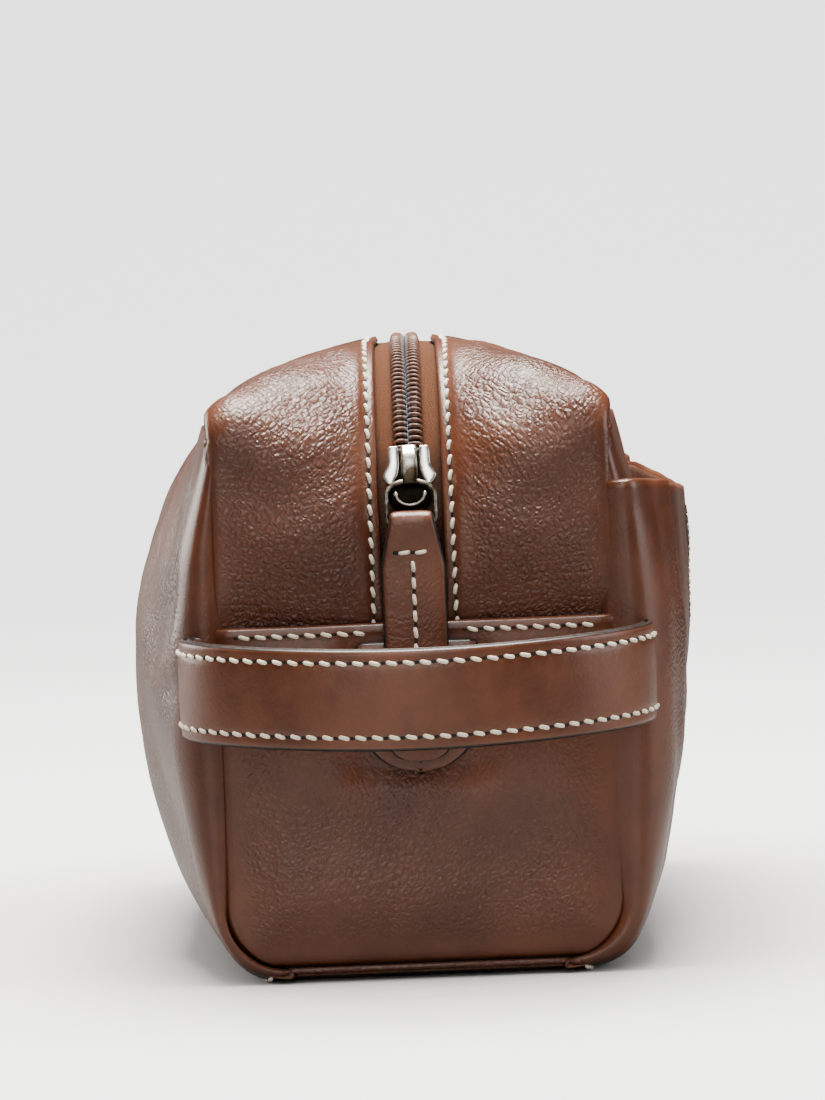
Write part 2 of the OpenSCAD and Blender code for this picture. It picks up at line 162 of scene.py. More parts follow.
def sheet_mesh(name, outer, normals, thickness, materials, flip=False, inset=None, round_edge=0.45,
               joined=False):
    """A closed sheet: outer is its face, thickness goes in against the normals. Material 0 is
    the face, 1 the back and 2 the cut edge, which is rounded, except where the sheet is joined
    to its twin at the middle of the bag."""
    n, m = outer.shape[:2]
    inner = outer - thickness * normals
    size = n * m
    flat = outer.reshape(-1, 3)
    edge, inside = ring_indices(n, m)
    out = unit(flat[edge] - flat[inside])
    if joined:
        out = out * (np.abs(flat[edge][:, :1]) > 0.01)
    middle = (flat[edge] + inner.reshape(-1, 3)[edge]) / 2 + out * thickness * round_edge
    verts = np.concatenate([flat, inner.reshape(-1, 3), middle])
    i, j = np.meshgrid(np.arange(n - 1), np.arange(m - 1), indexing="ij")
    a = (i * m + j).ravel()
    quads = np.stack([a, a + m, a + m + 1, a + 1], axis=1)
    faces = np.concatenate([quads, quads[:, ::-1] + size])
    kinds = [0] * len(quads) + [1] * len(quads)
    count = len(edge)
    e = np.array(edge)
    following = np.roll(np.arange(count), -1)
    mid = 2 * size + np.arange(count)
    rim_a = np.stack([e, e[following], mid[following], mid], axis=1)[:, ::-1]
    rim_b = np.stack([mid, mid[following], e[following] + size, e + size], axis=1)[:, ::-1]
    faces = np.concatenate([faces, rim_a, rim_b])
    kinds += [2] * (2 * count)
    if flip:
        faces = faces[:, ::-1]
    obj = new_object(name, verts, faces.tolist(), materials, kinds)
    if joined:
        at_joint = np.all(np.abs(verts[faces, 0]) < 0.01, axis=1)
        obj.data.polygons.foreach_set("use_smooth", ~at_joint)
    if inset is not None:
        values = np.concatenate([inset.ravel(), np.zeros(size), np.zeros(count)])
        set_attribute(obj, "inset", values)
    return obj


def tube_points(path, radius, sides, up=Z):
    """Rings of points round a path; radius may vary along it."""
    path = np.asarray(path, float)
    tangents = unit(np.gradient(path, axis=0))
    radius = np.broadcast_to(radius, len(path))
    normal = unit(np.cross(tangents, up))
    bad = np.linalg.norm(np.cross(tangents, up), axis=1) < 1e-3
    normal[bad] = unit(np.cross(tangents[bad], X))
    for i in range(1, len(path)):
        projected = normal[i - 1] - tangents[i] * (normal[i - 1] @ tangents[i])
        normal[i] = unit(projected)
    binormal = np.cross(tangents, normal)
    turn = np.linspace(0, 2 * math.pi, sides, endpoint=False)
    ring = (np.cos(turn)[None, :, None] * normal[:, None, :]
            + np.sin(turn)[None, :, None] * binormal[:, None, :])
    return path[:, None, :] + ring * radius[:, None, None]


def tube_faces(rings, sides, start=0, closed=False):
    faces = []
    for i in range(rings if closed else rings - 1):
        ni = (i + 1) % rings
        for j in range(sides):
            nj = (j + 1) % sides
            faces.append([start + i * sides + j, start + i * sides + nj,
                          start + ni * sides + nj, start + ni * sides + j])
    if not closed:
        faces.append([start + j for j in range(sides - 1, -1, -1)])
        faces.append([start + (rings - 1) * sides + j for j in range(sides)])
    return faces


def tube(name, path, radius, material, sides=12, closed=False, up=Z):
    points = tube_points(path, radius, sides, up)
    return new_object(name, points.reshape(-1, 3), tube_faces(len(path), sides, 0, closed), [material])


def loft(name, sections, materials, cap=True, sharp=False):
    """Sections are closed loops with the same number of points."""
    sections = np.asarray(sections, float)
    n, m = sections.shape[:2]
    faces = tube_faces(n, m)
    if not cap:
        faces = faces[:-2]
    return new_object(name, sections.reshape(-1, 3), faces, materials, None, sharp)


# ---------------------------------------------------------------- materials

def socket(value, target):
    """Links a node's output to an input, or sets a constant on the input itself."""
    if isinstance(value, bpy.types.NodeSocket):
        target.id_data.links.new(value, target)
    elif hasattr(value, "__len__") and len(value) == 3 and target.type == "RGBA":
        target.default_value = (*value, 1)
    else:
        target.default_value = value


def add(tree, kind, inputs=(), **settings):
    node = tree.nodes.new(kind)
    for key, value in settings.items():
        setattr(node, key, value)
    for key, value in dict(inputs).items():
        socket(value, node.inputs[key])
    return node


def math_node(tree, operation, a, b=0.0, clamp=False):
    return add(tree, "ShaderNodeMath", {0: a, 1: b}, operation=operation, use_clamp=clamp).outputs[0]


def blend_colours(tree, factor, a, b, mode="MIX"):
    node = add(tree, "ShaderNodeMix", {0: factor, 6: a, 7: b}, data_type="RGBA", blend_type=mode)
    return node.outputs[2]


def ramp(tree, value, low, high, out_low=0.0, out_high=1.0):
    inputs = {"Value": value, "From Min": low, "From Max": high,
              "To Min": out_low, "To Max": out_high}
    return add(tree, "ShaderNodeMapRange", inputs, interpolation_type="SMOOTHSTEP").outputs[0]


def new_material(name):
    material = bpy.data.materials.new(name)
    material.use_nodes = True
    return material, material.node_tree, material.node_tree.nodes["Principled BSDF"]


def leather_group():
    """Grain, creases and colour of full-grain leather, with painted shade in the grain's creases and in recesses near
    other parts. Grain is how much it has creased, and Smooth is 1 where it is stretched flat beside a seam."""
    tree = bpy.data.node_groups.new("leather_skin", "ShaderNodeTree")
    face = tree.interface
    for name, kind, default in (("Base", "NodeSocketColor", (0.2, 0.08, 0.05, 1)),
                                ("Grain", "NodeSocketFloat", 0.5),
                                ("Smooth", "NodeSocketFloat", 0.0)):
        face.new_socket(name, in_out="INPUT", socket_type=kind).default_value = default
    for name, kind in (("Color", "NodeSocketColor"), ("Roughness", "NodeSocketFloat"),
                       ("Normal", "NodeSocketVector")):
        face.new_socket(name, in_out="OUTPUT", socket_type=kind)
    given = tree.nodes.new("NodeGroupInput").outputs
    place = add(tree, "ShaderNodeTexCoord").outputs["Object"]
    drift = add(tree, "ShaderNodeTexNoise", {"Vector": place, "Scale": 70.0, "Detail": 3.0})
    warp = add(tree, "ShaderNodeVectorMath", {0: drift.outputs["Color"], "Scale": 0.0035},
               operation="SCALE").outputs[0]
    warped = add(tree, "ShaderNodeVectorMath", {0: place, 1: warp}, operation="ADD").outputs[0]
    heights = []
    for lean, cells in ((-0.6435, 640.0), (0.6435, 700.0)):
        drawn = add(tree, "ShaderNodeMapping", {"Vector": warped, "Scale": (1.0, 1.0, 2.1),
                                                "Rotation": (lean, 0.6751, 0.0)},
                    vector_type="TEXTURE").outputs[0]
        wrinkles = add(tree, "ShaderNodeTexVoronoi", {"Vector": drawn, "Scale": cells, "Randomness": 0.7},
                       feature="DISTANCE_TO_EDGE").outputs["Distance"]
        heights.append(ramp(tree, wrinkles, 0.0, 0.34))
    pebble_height, crease_height = heights
    folds = add(tree, "ShaderNodeTexNoise", {"Vector": warped, "Scale": 230.0, "Detail": 4.0,
                                             "Roughness": 0.6, "Distortion": 1.0}).outputs[0]
    pores = add(tree, "ShaderNodeTexNoise", {"Vector": place, "Scale": 2600.0,
                                             "Detail": 2.0}).outputs[0]
    patches = add(tree, "ShaderNodeTexNoise", {"Vector": place, "Scale": 26.0,
                                               "Detail": 4.0}).outputs[0]
    creased = math_node(tree, "MULTIPLY", given["Grain"], ramp(tree, patches, 0.32, 0.62, 0.45, 1.0))
    calm = math_node(tree, "SUBTRACT", 1.0, given["Smooth"], clamp=True)
    creased = math_node(tree, "MULTIPLY", creased, math_node(tree, "ADD", calm, 0.18), clamp=True)
    rough_part = math_node(tree, "MULTIPLY", pebble_height, 0.62)
    rough_part = math_node(tree, "ADD", rough_part, math_node(tree, "MULTIPLY", crease_height, 0.62))
    rough_part = math_node(tree, "ADD", rough_part, math_node(tree, "MULTIPLY", folds, 0.7))
    height = math_node(tree, "MULTIPLY", rough_part, creased)
    height = math_node(tree, "ADD", height, math_node(tree, "MULTIPLY", pores, 0.10))
    normal = add(tree, "ShaderNodeBump", {"Height": height, "Strength": 1.0,
                                          "Distance": 0.00032}).outputs[0]
    mottle = add(tree, "ShaderNodeTexNoise", {"Vector": warped, "Scale": 34.0, "Detail": 6.0,
                                              "Roughness": 0.62}).outputs[0]
    dark = blend_colours(tree, 1.0, given["Base"], (0.66, 0.60, 0.56), "MULTIPLY")
    light = blend_colours(tree, 1.0, given["Base"], (1.16, 1.18, 1.18), "MULTIPLY")
    colour = blend_colours(tree, ramp(tree, mottle, 0.32, 0.68), dark, light)
    # Painted shade: the colour darkens along the grain's creases, where the valleys would be shaded.
    in_creases = math_node(tree, "MULTIPLY", math_node(tree, "SUBTRACT", 1.0, crease_height), creased)
    colour = blend_colours(tree, math_node(tree, "MULTIPLY", in_creases, 0.6), colour, dark)
    scuffs = add(tree, "ShaderNodeTexNoise", {"Vector": warped, "Scale": 210.0, "Detail": 2.0,
                                              "Distortion": 2.5}).outputs[0]
    scuffed = ramp(tree, scuffs, 0.70, 0.78, 0.0, 0.35)
    colour = blend_colours(tree, scuffed, colour, light)
    # Painted shade: the colour is multiplied towards near black where ambient occlusion finds other surfaces close by,
    # in recesses and beside other parts.
    ao_openness = add(tree, "ShaderNodeAmbientOcclusion", {"Distance": 0.007}, samples=4).outputs["AO"]
    painted_recess_shade = blend_colours(tree, 1.0, dark, (0.22, 0.20, 0.20), "MULTIPLY")
    colour = blend_colours(tree, ramp(tree, ao_openness, 0.12, 0.72), painted_recess_shade, colour)
    roughness = ramp(tree, mottle, 0.25, 0.75, 0.27, 0.37)
    roughness = math_node(tree, "ADD", roughness, math_node(tree, "MULTIPLY", in_creases, 0.12))
    out = tree.nodes.new("NodeGroupOutput").inputs
    for name, value in (("Color", colour), ("Roughness", roughness), ("Normal", normal)):
        socket(value, out[name])
    return tree


LEATHER_GROUP = leather_group()


def leather(name, base, grain):
    material, tree, bsdf = new_material(name)
    inset = add(tree, "ShaderNodeAttribute", attribute_name="inset").outputs["Fac"]
    beside_seam = ramp(tree, inset, 4.0, 11.0, 1.0, 0.0)
    skin = add(tree, "ShaderNodeGroup", node_tree=LEATHER_GROUP)
    socket(base, skin.inputs["Base"])
    socket(grain, skin.inputs["Grain"])
    socket(beside_seam, skin.inputs["Smooth"])
    socket(skin.outputs["Color"], bsdf.inputs["Base Color"])
    socket(skin.outputs["Roughness"], bsdf.inputs["Roughness"])
    socket(skin.outputs["Normal"], bsdf.inputs["Normal"])
    bsdf.inputs["Specular IOR Level"].default_value = 0.5
    bsdf.inputs["Coat Weight"].default_value = 0.12
    bsdf.inputs["Coat Roughness"].default_value = 0.28
    return material


def plain(name, base, roughness, scale=900.0, depth=0.0001, metallic=0.0, spread=0.25, painted_core_highlight=None):
    """A finish with fine noise in its colour, roughness and surface. painted_core_highlight is its colour within 1 mm
    of the bag's middle plane, a painted highlight where the coils interlock."""
    material, tree, bsdf = new_material(name)
    place = add(tree, "ShaderNodeTexCoord").outputs["Object"]
    noise = add(tree, "ShaderNodeTexNoise", {"Vector": place, "Scale": scale, "Detail": 4.0}).outputs[0]
    dark = tuple(c * (1 - spread) for c in base)
    light = tuple(min(1, c * (1 + spread)) for c in base)
    colour = blend_colours(tree, ramp(tree, noise, 0.3, 0.7), dark, light)
    if painted_core_highlight:
        across = add(tree, "ShaderNodeSeparateXYZ", {0: place}).outputs[1]
        from_middle = ramp(tree, math_node(tree, "ABSOLUTE", across), 0.0005, 0.0012)
        colour = blend_colours(tree, from_middle, painted_core_highlight, colour)
    socket(colour, bsdf.inputs["Base Color"])
    socket(ramp(tree, noise, 0.2, 0.8, roughness - 0.06, roughness + 0.08), bsdf.inputs["Roughness"])
    bump = add(tree, "ShaderNodeBump", {"Height": noise, "Strength": 0.6, "Distance": depth})
    socket(bump.outputs[0], bsdf.inputs["Normal"])
    bsdf.inputs["Metallic"].default_value = metallic
    return material


def woven(name, base, across, along, depth):
    """Cloth: threads counted per metre along each axis of the object."""
    material, tree, bsdf = new_material(name)
    place = add(tree, "ShaderNodeTexCoord").outputs["Object"]
    parts = add(tree, "ShaderNodeSeparateXYZ", {0: place}).outputs
    diagonal = math_node(tree, "ADD", parts[0], parts[2])
    warp = math_node(tree, "SINE", math_node(tree, "MULTIPLY", parts[1], across * 2 * math.pi))
    weft = math_node(tree, "SINE", math_node(tree, "MULTIPLY", diagonal, along * 2 * math.pi))
    weave = math_node(tree, "MULTIPLY", warp, weft)
    fuzz = add(tree, "ShaderNodeTexNoise", {"Vector": place, "Scale": 1800.0, "Detail": 3.0}).outputs[0]
    height = math_node(tree, "ADD", math_node(tree, "MULTIPLY", weave, 0.45), fuzz)
    # Painted shade between the threads: the colour is darker at the weave's low points. The noise in the height adds
    # random tone.
    dark = tuple(c * 0.38 for c in base)
    light = tuple(c * 1.25 for c in base)
    colour = blend_colours(tree, ramp(tree, height, 0.1, 0.95), dark, light)
    # Painted shade: the cloth's colour is multiplied towards near black where ambient occlusion finds other surfaces
    # close by.
    ao_openness = add(tree, "ShaderNodeAmbientOcclusion", {"Distance": 0.012}, samples=6).outputs["AO"]
    painted_shade_cloth = blend_colours(tree, 1.0, colour, (0.12, 0.10, 0.10), "MULTIPLY")
    socket(blend_colours(tree, ramp(tree, ao_openness, 0.25, 0.85), painted_shade_cloth, colour), bsdf.inputs["Base Color"])
    bump = add(tree, "ShaderNodeBump", {"Height": height, "Strength": 0.8, "Distance": depth})
    socket(bump.outputs[0], bsdf.inputs["Normal"])
    bsdf.inputs["Roughness"].default_value = 0.9
    bsdf.inputs["Sheen Weight"].default_value = 0.06
    bsdf.inputs["Specular IOR Level"].default_value = 0.2
    return material


def brass(name):
    """Antique brass: dark in its hollows and rubbed bright on its edges. The wear_and_shade attribute is 1 where it is
    polished through, and below 0 where it is blackened, partly as patina and partly as painted shade."""
    material, tree, bsdf = new_material(name)
    wear_and_shade = add(tree, "ShaderNodeAttribute", attribute_name="wear_and_shade").outputs["Fac"]
    pointiness = add(tree, "ShaderNodeNewGeometry").outputs["Pointiness"]
    place = add(tree, "ShaderNodeTexCoord").outputs["Object"]
    noise = add(tree, "ShaderNodeTexNoise", {"Vector": place, "Scale": 420.0, "Detail": 5.0}).outputs[0]
    rubbed = math_node(tree, "ADD", ramp(tree, pointiness, 0.50, 0.60, 0, 0.5),
                       ramp(tree, noise, 0.42, 0.75, 0.04, 0.40))
    polish = math_node(tree, "ADD", rubbed, wear_and_shade, clamp=True)
    # Below 0 the colour goes to near black: patina, and painted shade in recesses.
    bronze_patina_and_shade = blend_colours(tree, ramp(tree, wear_and_shade, -0.8, 0.0), (0.004, 0.003, 0.002), (0.060, 0.044, 0.026))
    colour = blend_colours(tree, polish, bronze_patina_and_shade, (0.86, 0.82, 0.74))
    socket(colour, bsdf.inputs["Base Color"])
    dull = ramp(tree, noise, 0.2, 0.8, 0.26, 0.40)
    socket(math_node(tree, "SUBTRACT", dull, math_node(tree, "MULTIPLY", polish, 0.14)),
           bsdf.inputs["Roughness"])
    bump = add(tree, "ShaderNodeBump", {"Height": noise, "Strength": 0.25, "Distance": 0.00008})
    socket(bump.outputs[0], bsdf.inputs["Normal"])
    bsdf.inputs["Metallic"].default_value = 1.0
    return material


BROWN = (0.110, 0.031, 0.0115)
creased_leather = leather("leather_creased", BROWN, 1.0)
panel_leather = leather("leather_panel", BROWN, 0.5)
strap_leather = leather("leather_strap", (0.138, 0.040, 0.0145), 0.2)
label_leather = leather("leather_label", (0.070, 0.023, 0.012), 0.2)
flesh = plain("leather_flesh", (0.15, 0.06, 0.03), 0.8, 1500.0, 0.0002)
edge_paint = plain("edge_paint", (0.022, 0.014, 0.012), 0.34, 500.0, 0.00006)
fold_edge = leather("leather_fold", (0.118, 0.035, 0.014), 0.1)
thread = plain("waxed_thread", (0.88, 0.78, 0.62), 0.55, 2600.0, 0.0001, spread=0.18)
# Near-black colour for the stitch holes: painted shade in the holes.
hole_shade = plain("painted_hole_shade", (0.006, 0.003, 0.002), 0.8, 900.0, 0.0001)
tape_cloth = woven("zip_tape", (0.15, 0.047, 0.013), 1300.0, 1450.0, 0.00035)
# The grey colour at the middle plane is a painted highlight on the interlocking coil heads.
nylon = plain("zip_coil", (0.125, 0.050, 0.030), 0.42, 700.0, 0.00004, painted_core_highlight=(0.20, 0.19, 0.20))
old_brass = brass("antique_brass")
twill = woven("lining_twill", (0.30, 0.21, 0.13), 1100.0, 1100.0, 0.00015)
board = plain("base_board", (0.15, 0.12, 0.10), 0.8, 500.0, 0.0001)


# ---------------------------------------------------------------- body panels

def bellied(x):
    return 1 - np.clip(np.abs(x) / (HALF_L - ROLL), 0, 1) ** 2.4


def height_at(k):
    return mix(CORNER_Z, EAVE_Z, 2 * k - 1)


def level_at(z):
    return 0.5 + 0.5 * (z - CORNER_Z) / (EAVE_Z - CORNER_Z)


def seam_outline(k):
    """The end seam's half outline: y and z, from the base up to the top seam."""
    turn = math.pi * np.minimum(k, 0.5)
    low = k <= 0.5
    y = np.where(low, END_HALF - CORNER_R * (1 - np.sin(turn)), END_HALF)
    z = np.where(low, END_SEAM_Z + CORNER_R * (1 - np.cos(turn)), height_at(k))
    return y, z


def body_outline(half, z0, k):
    """The body's half outline where it is half wide at height z0."""
    share = 2 / CORNER_POWER
    turn = 2 * np.minimum(k, 0.5) * np.arccos((1 - CORNER_Z / z0) ** (CORNER_POWER / 2))
    h = height_at(k)
    below = np.clip(1 - h / z0, 0, 1)
    above = np.clip((h - z0) / (EAVE_Z - z0), 0, 1)
    y_side = np.where(h < z0, mix(BASE_HALF, half, (1 - below ** CORNER_POWER) ** (1 / CORNER_POWER)),
                      mix(half, EAVE_HALF, above ** 1.7))
    low = k <= 0.5
    y = np.where(low, mix(BASE_HALF, half, np.sin(turn) ** share), y_side)
    z = np.where(low, z0 * (1 - np.cos(turn) ** share), h)
    return y, z


def end_drop(x):
    """How far the top seam drops as it turns down at each end."""
    d = np.clip(HALF_L - np.abs(x), 0, SEAM_R)
    return SEAM_R - np.sqrt(np.maximum(SEAM_R ** 2 - (SEAM_R - d) ** 2, 0))


def side_grid(side, x, share, k, drop=True):
    """Points of a side panel. share is how far out of the end seam each station is."""
    half, z0 = BELLY[side]
    f = bellied(x)
    by, bz = body_outline(mix(END_BELLY[0], half, f), mix(END_BELLY[1], z0, f), k)
    sy, sz = seam_outline(k)
    y = mix(sy, by, share)
    z = mix(sz, bz, np.clip(share, 0, 1))
    if drop:
        z = z - end_drop(x) * smooth((z - 128) / 22)
    return np.stack(np.broadcast_arrays(x, side * y, z), axis=-1)


TUCK = 24.0      # degrees that the rolled edge turns on behind the end panel
LINING_FROM = 5  # station of a side panel at which its lining starts


def side_stations(middle_step=2.4, turn_steps=11):
    turn = np.radians(np.linspace(-TUCK, 90, turn_steps))
    x_roll = -(HALF_L - ROLL * (1 - np.cos(turn)))
    count = int(round(2 * (HALF_L - ROLL) / middle_step))
    x_mid = np.linspace(-(HALF_L - ROLL), HALF_L - ROLL, count + 1)[1:-1]
    x = np.concatenate([x_roll, x_mid, -x_roll[::-1]])
    share = np.concatenate([np.sin(turn), np.ones(len(x_mid)), np.sin(turn)[::-1]])
    return x[:, None], share[:, None]


def slump(points, side):
    """Soft waves in a panel, and drawn-in folds running in from the end seams."""
    x, z = points[..., 0], points[..., 2]
    from_end = HALF_L - np.abs(x)
    away = smooth((from_end - 6) / 34) * smooth((z - 10) / 30) * smooth((EAVE_Z + 4 - z) / 26)
    waves = 1.5 * ripples(points * [1, 0.3, 0.8], 74, 11 + side) * away
    waves += 0.45 * ripples(points, 27, 31 + side) * away
    reach = smooth((from_end - 3) / 10) * smooth((64 - from_end) / 44)
    lean = z + 0.55 * from_end * np.sign(z - 82)
    folds = 0.9 * np.sin(lean / 6.8 + 1.2 * np.sin(lean / 17.0 + side)) * reach
    folds *= smooth((z - 16) / 20) * smooth((128 - z) / 28)
    return waves + folds


def side_panel(side, name):
    x, share = side_stations()
    k = np.concatenate([np.linspace(0, 0.5, 15), np.linspace(0.5, 1, 62)[1:]])[None, :]
    points = side_grid(side, x, share, k)
    level = grid_normals(side_grid(side, x, share, k, drop=False), side > 0)
    turned = smooth((points[..., 2:] - 124) / 8) * smooth((16 - (HALF_L - np.abs(points[..., :1]))) / 6)
    normals = unit(mix(grid_normals(points, side > 0), level, turned))
    inset = np.minimum(np.minimum(HALF_L - np.abs(x) + 0 * k, (1 - k) * 129 + 0 * x), 0 * x + 240 * k)
    corner = smooth((points[..., 2] - 112) / 30) * smooth((26 - (HALF_L - np.abs(x))) / 20)
    bead = 0.9 * bump_at(share, 0.32, 0.3) * (1 - corner) - 0.8 * smooth(-share / 0.2)
    points = points + normals * (slump(points, side) + bead)[..., None]
    points[..., 1] -= side * 2.0 * corner
    normals = unit(mix(grid_normals(points, side > 0), level, turned))
    panel = sheet_mesh(name, points, normals, LEATHER_T, [panel_leather, flesh, panel_leather],
                       flip=side > 0, inset=inset, round_edge=0.1)
    rows = slice(LINING_FROM, -LINING_FROM)
    under = (points - normals * (LEATHER_T + 0.1))[rows, :-2]
    cloth = sheet_mesh(name + "_lining", under, normals[rows, :-2], LINING_T, [twill] * 3, flip=side > 0)
    return panel, cloth


def base_strip():
    x, share = side_stations(4.0, 6)
    across = np.linspace(-1, 1, 41)[None, :]
    edge = side_grid(1, x, np.clip(share, 0, 1), np.zeros((1, 1)))
    half = edge[..., 1] - 0.6
    lift = edge[..., 2]
    y = half * across
    flat = lift + 0.35 * (1 - across ** 2) * (lift < 0.1)
    points = np.stack(np.broadcast_arrays(x, y, flat), axis=-1)
    normals = grid_normals(points, True)
    return sheet_mesh("base_strip", points, normals, LEATHER_T, [panel_leather, flesh, edge_paint],
                      flip=True, inset=20 + 0 * y)


def base_lining():
    x = np.linspace(-(HALF_L - ROLL), HALF_L - ROLL, 41)[:, None]
    y = np.linspace(-BASE_HALF - 2, BASE_HALF + 2, 21)[None, :]
    points = np.stack(np.broadcast_arrays(x, y, LEATHER_T + 0.15), axis=-1)
    normals = np.broadcast_to(-Z, points.shape)
    return sheet_mesh("base_lining", points, normals, LINING_T - 0.1, [twill] * 3, flip=True)


def end_half_width(z):
    """Half width of an end panel at height z."""
    lift = np.clip(CORNER_Z - np.maximum(z, END_SEAM_Z), 0, CORNER_R)
    return END_HALF - CORNER_R + np.sqrt(np.maximum(CORNER_R ** 2 - lift ** 2, 0))


def end_panel(end, name):
    """A cushioned panel, its edges drawn into the seams and its top edge turned and proud."""
    t = np.concatenate([np.linspace(0, 0.2, 16), np.linspace(0.2, 1, 46)[1:]])[:, None]
    z = END_SEAM_Z + 0.2 + (SPLIT_Z - END_SEAM_Z) * t
    s = np.sin(np.linspace(-math.pi / 2, math.pi / 2, 61))[None, :]
    y = end_half_width(z) * s
    to_side = end_half_width(z) * (1 - np.abs(s))
    to_base = z - END_SEAM_Z
    gap = np.minimum(to_side, to_base + 0 * s)
    under_tab = smooth((23 - np.abs(y)) / 7) * smooth((z - 49) / 10)
    puff = 2.3 * smooth(gap / 22) ** 0.8 * (1 - 0.95 * under_tab) - 2.4 * bump_at(gap, 0, 1.5)
    top = smooth((SPLIT_Z - 14 - z) / -14)
    puff = puff * (1 - 0.7 * top) + 1.1 * top * smooth(to_side / 5)
    shape = np.stack(np.broadcast_arrays(-HALF_L - 0.4 - puff, y, z), axis=-1)
    wave = 0.5 * ripples(shape, 44, 5 + end) * smooth(gap / 20) * (1 - top)
    shape[..., 0] -= wave * (1 - under_tab) - 0.35 * bump_at(z, SPLIT_Z - END_STITCH, 1.0)
    if end > 0:
        shape[..., 0] *= -1
    normals = grid_normals(shape, end < 0)
    if (normals[..., 0].mean() > 0) != (end > 0):
        normals = -normals
    inset = np.minimum(gap, SPLIT_Z - z + 0 * s)
    panel = sheet_mesh(name, shape, normals, LEATHER_T, [panel_leather, flesh, fold_edge],
                       flip=end > 0, inset=inset)
    row = int(np.argmin(np.abs(z[:, 0] - (SPLIT_Z - END_STITCH))))
    rows = []
    for side in (-1, 1):
        keep = (side * y[row] > TAB_HALF - 6) & (side * y[row] < 50.5)
        rows.append((shape[row, keep], normals[row, keep]))
    return panel, stitch_rows(name + "_stitching", rows, slant=16 * end)


# ---------------------------------------------------------------- top strips and zip

def strip_top(w):
    t = np.clip(w, 0, 1)
    return TOP_Z - RIDGE_RISE * (0.77 * t + 0.23 * (1 - np.sqrt(1 - t ** 8)))


def strip_grid(w, q):
    """Points of the back left top strip: w across it from the zip, q along it from the end."""
    outer = mix(END_HALF, EAVE_HALF, np.clip(2 * q - 0.6, 0, 1))
    y = ZIP_HALF + (outer - ZIP_HALF) * w
    r = mix(SHOULDER_R, SEAM_R, np.clip(w, 0, 1))
    z = strip_top(w)
    a = math.pi / 2 * np.clip((q - 0.2) / 0.65, 0, 1)
    x_arc = -HALF_L + r * (1 - np.cos(a))
    z_arc = z - r * (1 - np.sin(a))
    start = SPLIT_Z - 2.0
    low = np.clip(q / 0.2, 0, 1)
    x = np.where(q <= 0.85, x_arc, mix(-HALF_L + r, 0, (q - 0.85) / 0.15))
    zz = np.where(q < 0.2, mix(start, z - r, low), z_arc)
    return np.stack(np.broadcast_arrays(x, y, zz), axis=-1)


STRIP_W = np.array([0, 0.3, 0.9, 1.6, 2.3, 3.0, 3.7, 4.5, 5.5, 7, 9, 11.5, 14, 17, 20, 23, 26, 29, 32,
                    34.5, 36.5, 38.5, 40, 41.5, 42.7, 43.7, 44.5, 45.1, 45.5]) / 45.5
STRIP_Q = np.concatenate([np.linspace(0, 0.2, 22), np.linspace(0.2, 0.85, 64)[1:],
                          np.linspace(0.85, 1.0, 42)[1:-1], [0.9988, 0.9997, 1.0]])
STITCH_IN = 2.3


def strip_relief(w, q, points):
    """Fullness of a top strip between its seams, with the hollow of its stitching."""
    mm = w * 45.5
    across = np.sin(math.pi * np.clip(w, 0, 1)) ** 0.75
    along = smooth(q / 0.16) * mix(1.0, 0.35, smooth((q - 0.78) / 0.2))
    full = 2.8 * across * along
    waves = 0.75 * ripples(points, 24, 3) * smooth((mm - 5) / 9) * smooth((43 - mm) / 7)
    waves *= smooth(q / 0.15) * smooth(-points[..., 0] / 40)
    hollow = -0.5 * bump_at(mm, STITCH_IN, 1.1) - 1.7 * smooth((mm - 43.2) / 2.3)
    tuck = -1.3 * (1 - smooth(q / 0.05))
    return full + waves + hollow + tuck


def strip_surface():
    w, q = STRIP_W[None, :], STRIP_Q[:, None]
    points = strip_grid(w, q)
    normals = grid_normals(points)
    if normals[..., 2].mean() < 0:
        normals = -normals
    points = points + normals * strip_relief(w + 0 * q, q + 0 * w, points)[..., None]
    normals = grid_normals(points)
    if normals[..., 2].mean() < 0:
        normals = -normals
    normals[:, -3:] = normals[:, -4:-3]          # the leather folds too sharply there for its own
    mm = w * 45.5 + 0 * q
    inset = np.minimum(np.minimum(mm, 45.5 - mm + 2), 60 * np.sqrt(q / 0.2))
    return points, normals, inset


STRIP = strip_surface()
CORNERS = {"front_left": (1, -1), "back_left": (1, 1), "front_right": (-1, -1), "back_right": (-1, 1)}


def bend_with_flap(obj):
    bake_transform(obj)


def mirrored(points, sx, sy):
    return points * np.array([sx, sy, 1])


def top_strip(corner):
    sx, sy = CORNERS[corner]
    points, normals, inset = STRIP
    points, normals = mirrored(points, sx, sy), mirrored(normals, sx, sy)
    wave = 0.35 * ripples(points, 31, 17) * smooth(inset / 12)
    points = points + normals * wave[..., None]
    points[-1, :, 0] = normals[-1, :, 0] = 0
    flip = sx * sy > 0
    strip = sheet_mesh("top_strip_" + corner, points, normals, LEATHER_T,
                       [creased_leather, flesh, fold_edge], flip=flip, inset=inset, joined=True)
    under = points[:, 7:-6] - normals[:, 7:-6] * (LEATHER_T + 0.15)
    cloth = sheet_mesh("strip_lining_" + corner, under, normals[:, 7:-6], LINING_T,
                       [twill] * 3, flip=flip, joined=True)
    return strip, cloth


def spine(s):
    """The line of the zip in the XZ plane, by length from its lower end at the left: points on
    the leather's level and outward directions."""
    s = np.asarray(s, float)
    a = np.clip((s - SPINE_DROP) / SHOULDER_R, 0, math.pi / 2)
    x = -SHOULDER_X - SHOULDER_R * np.cos(a) + np.clip(s - SPINE_DROP - SPINE_ARC, 0, None)
    z = SHOULDER_Z + SHOULDER_R * np.sin(a) - np.clip(SPINE_DROP - s, 0, None)
    out = np.stack([-np.cos(a), 0 * a, np.sin(a)], axis=-1)
    return np.stack([x, 0 * x, z], axis=-1), out


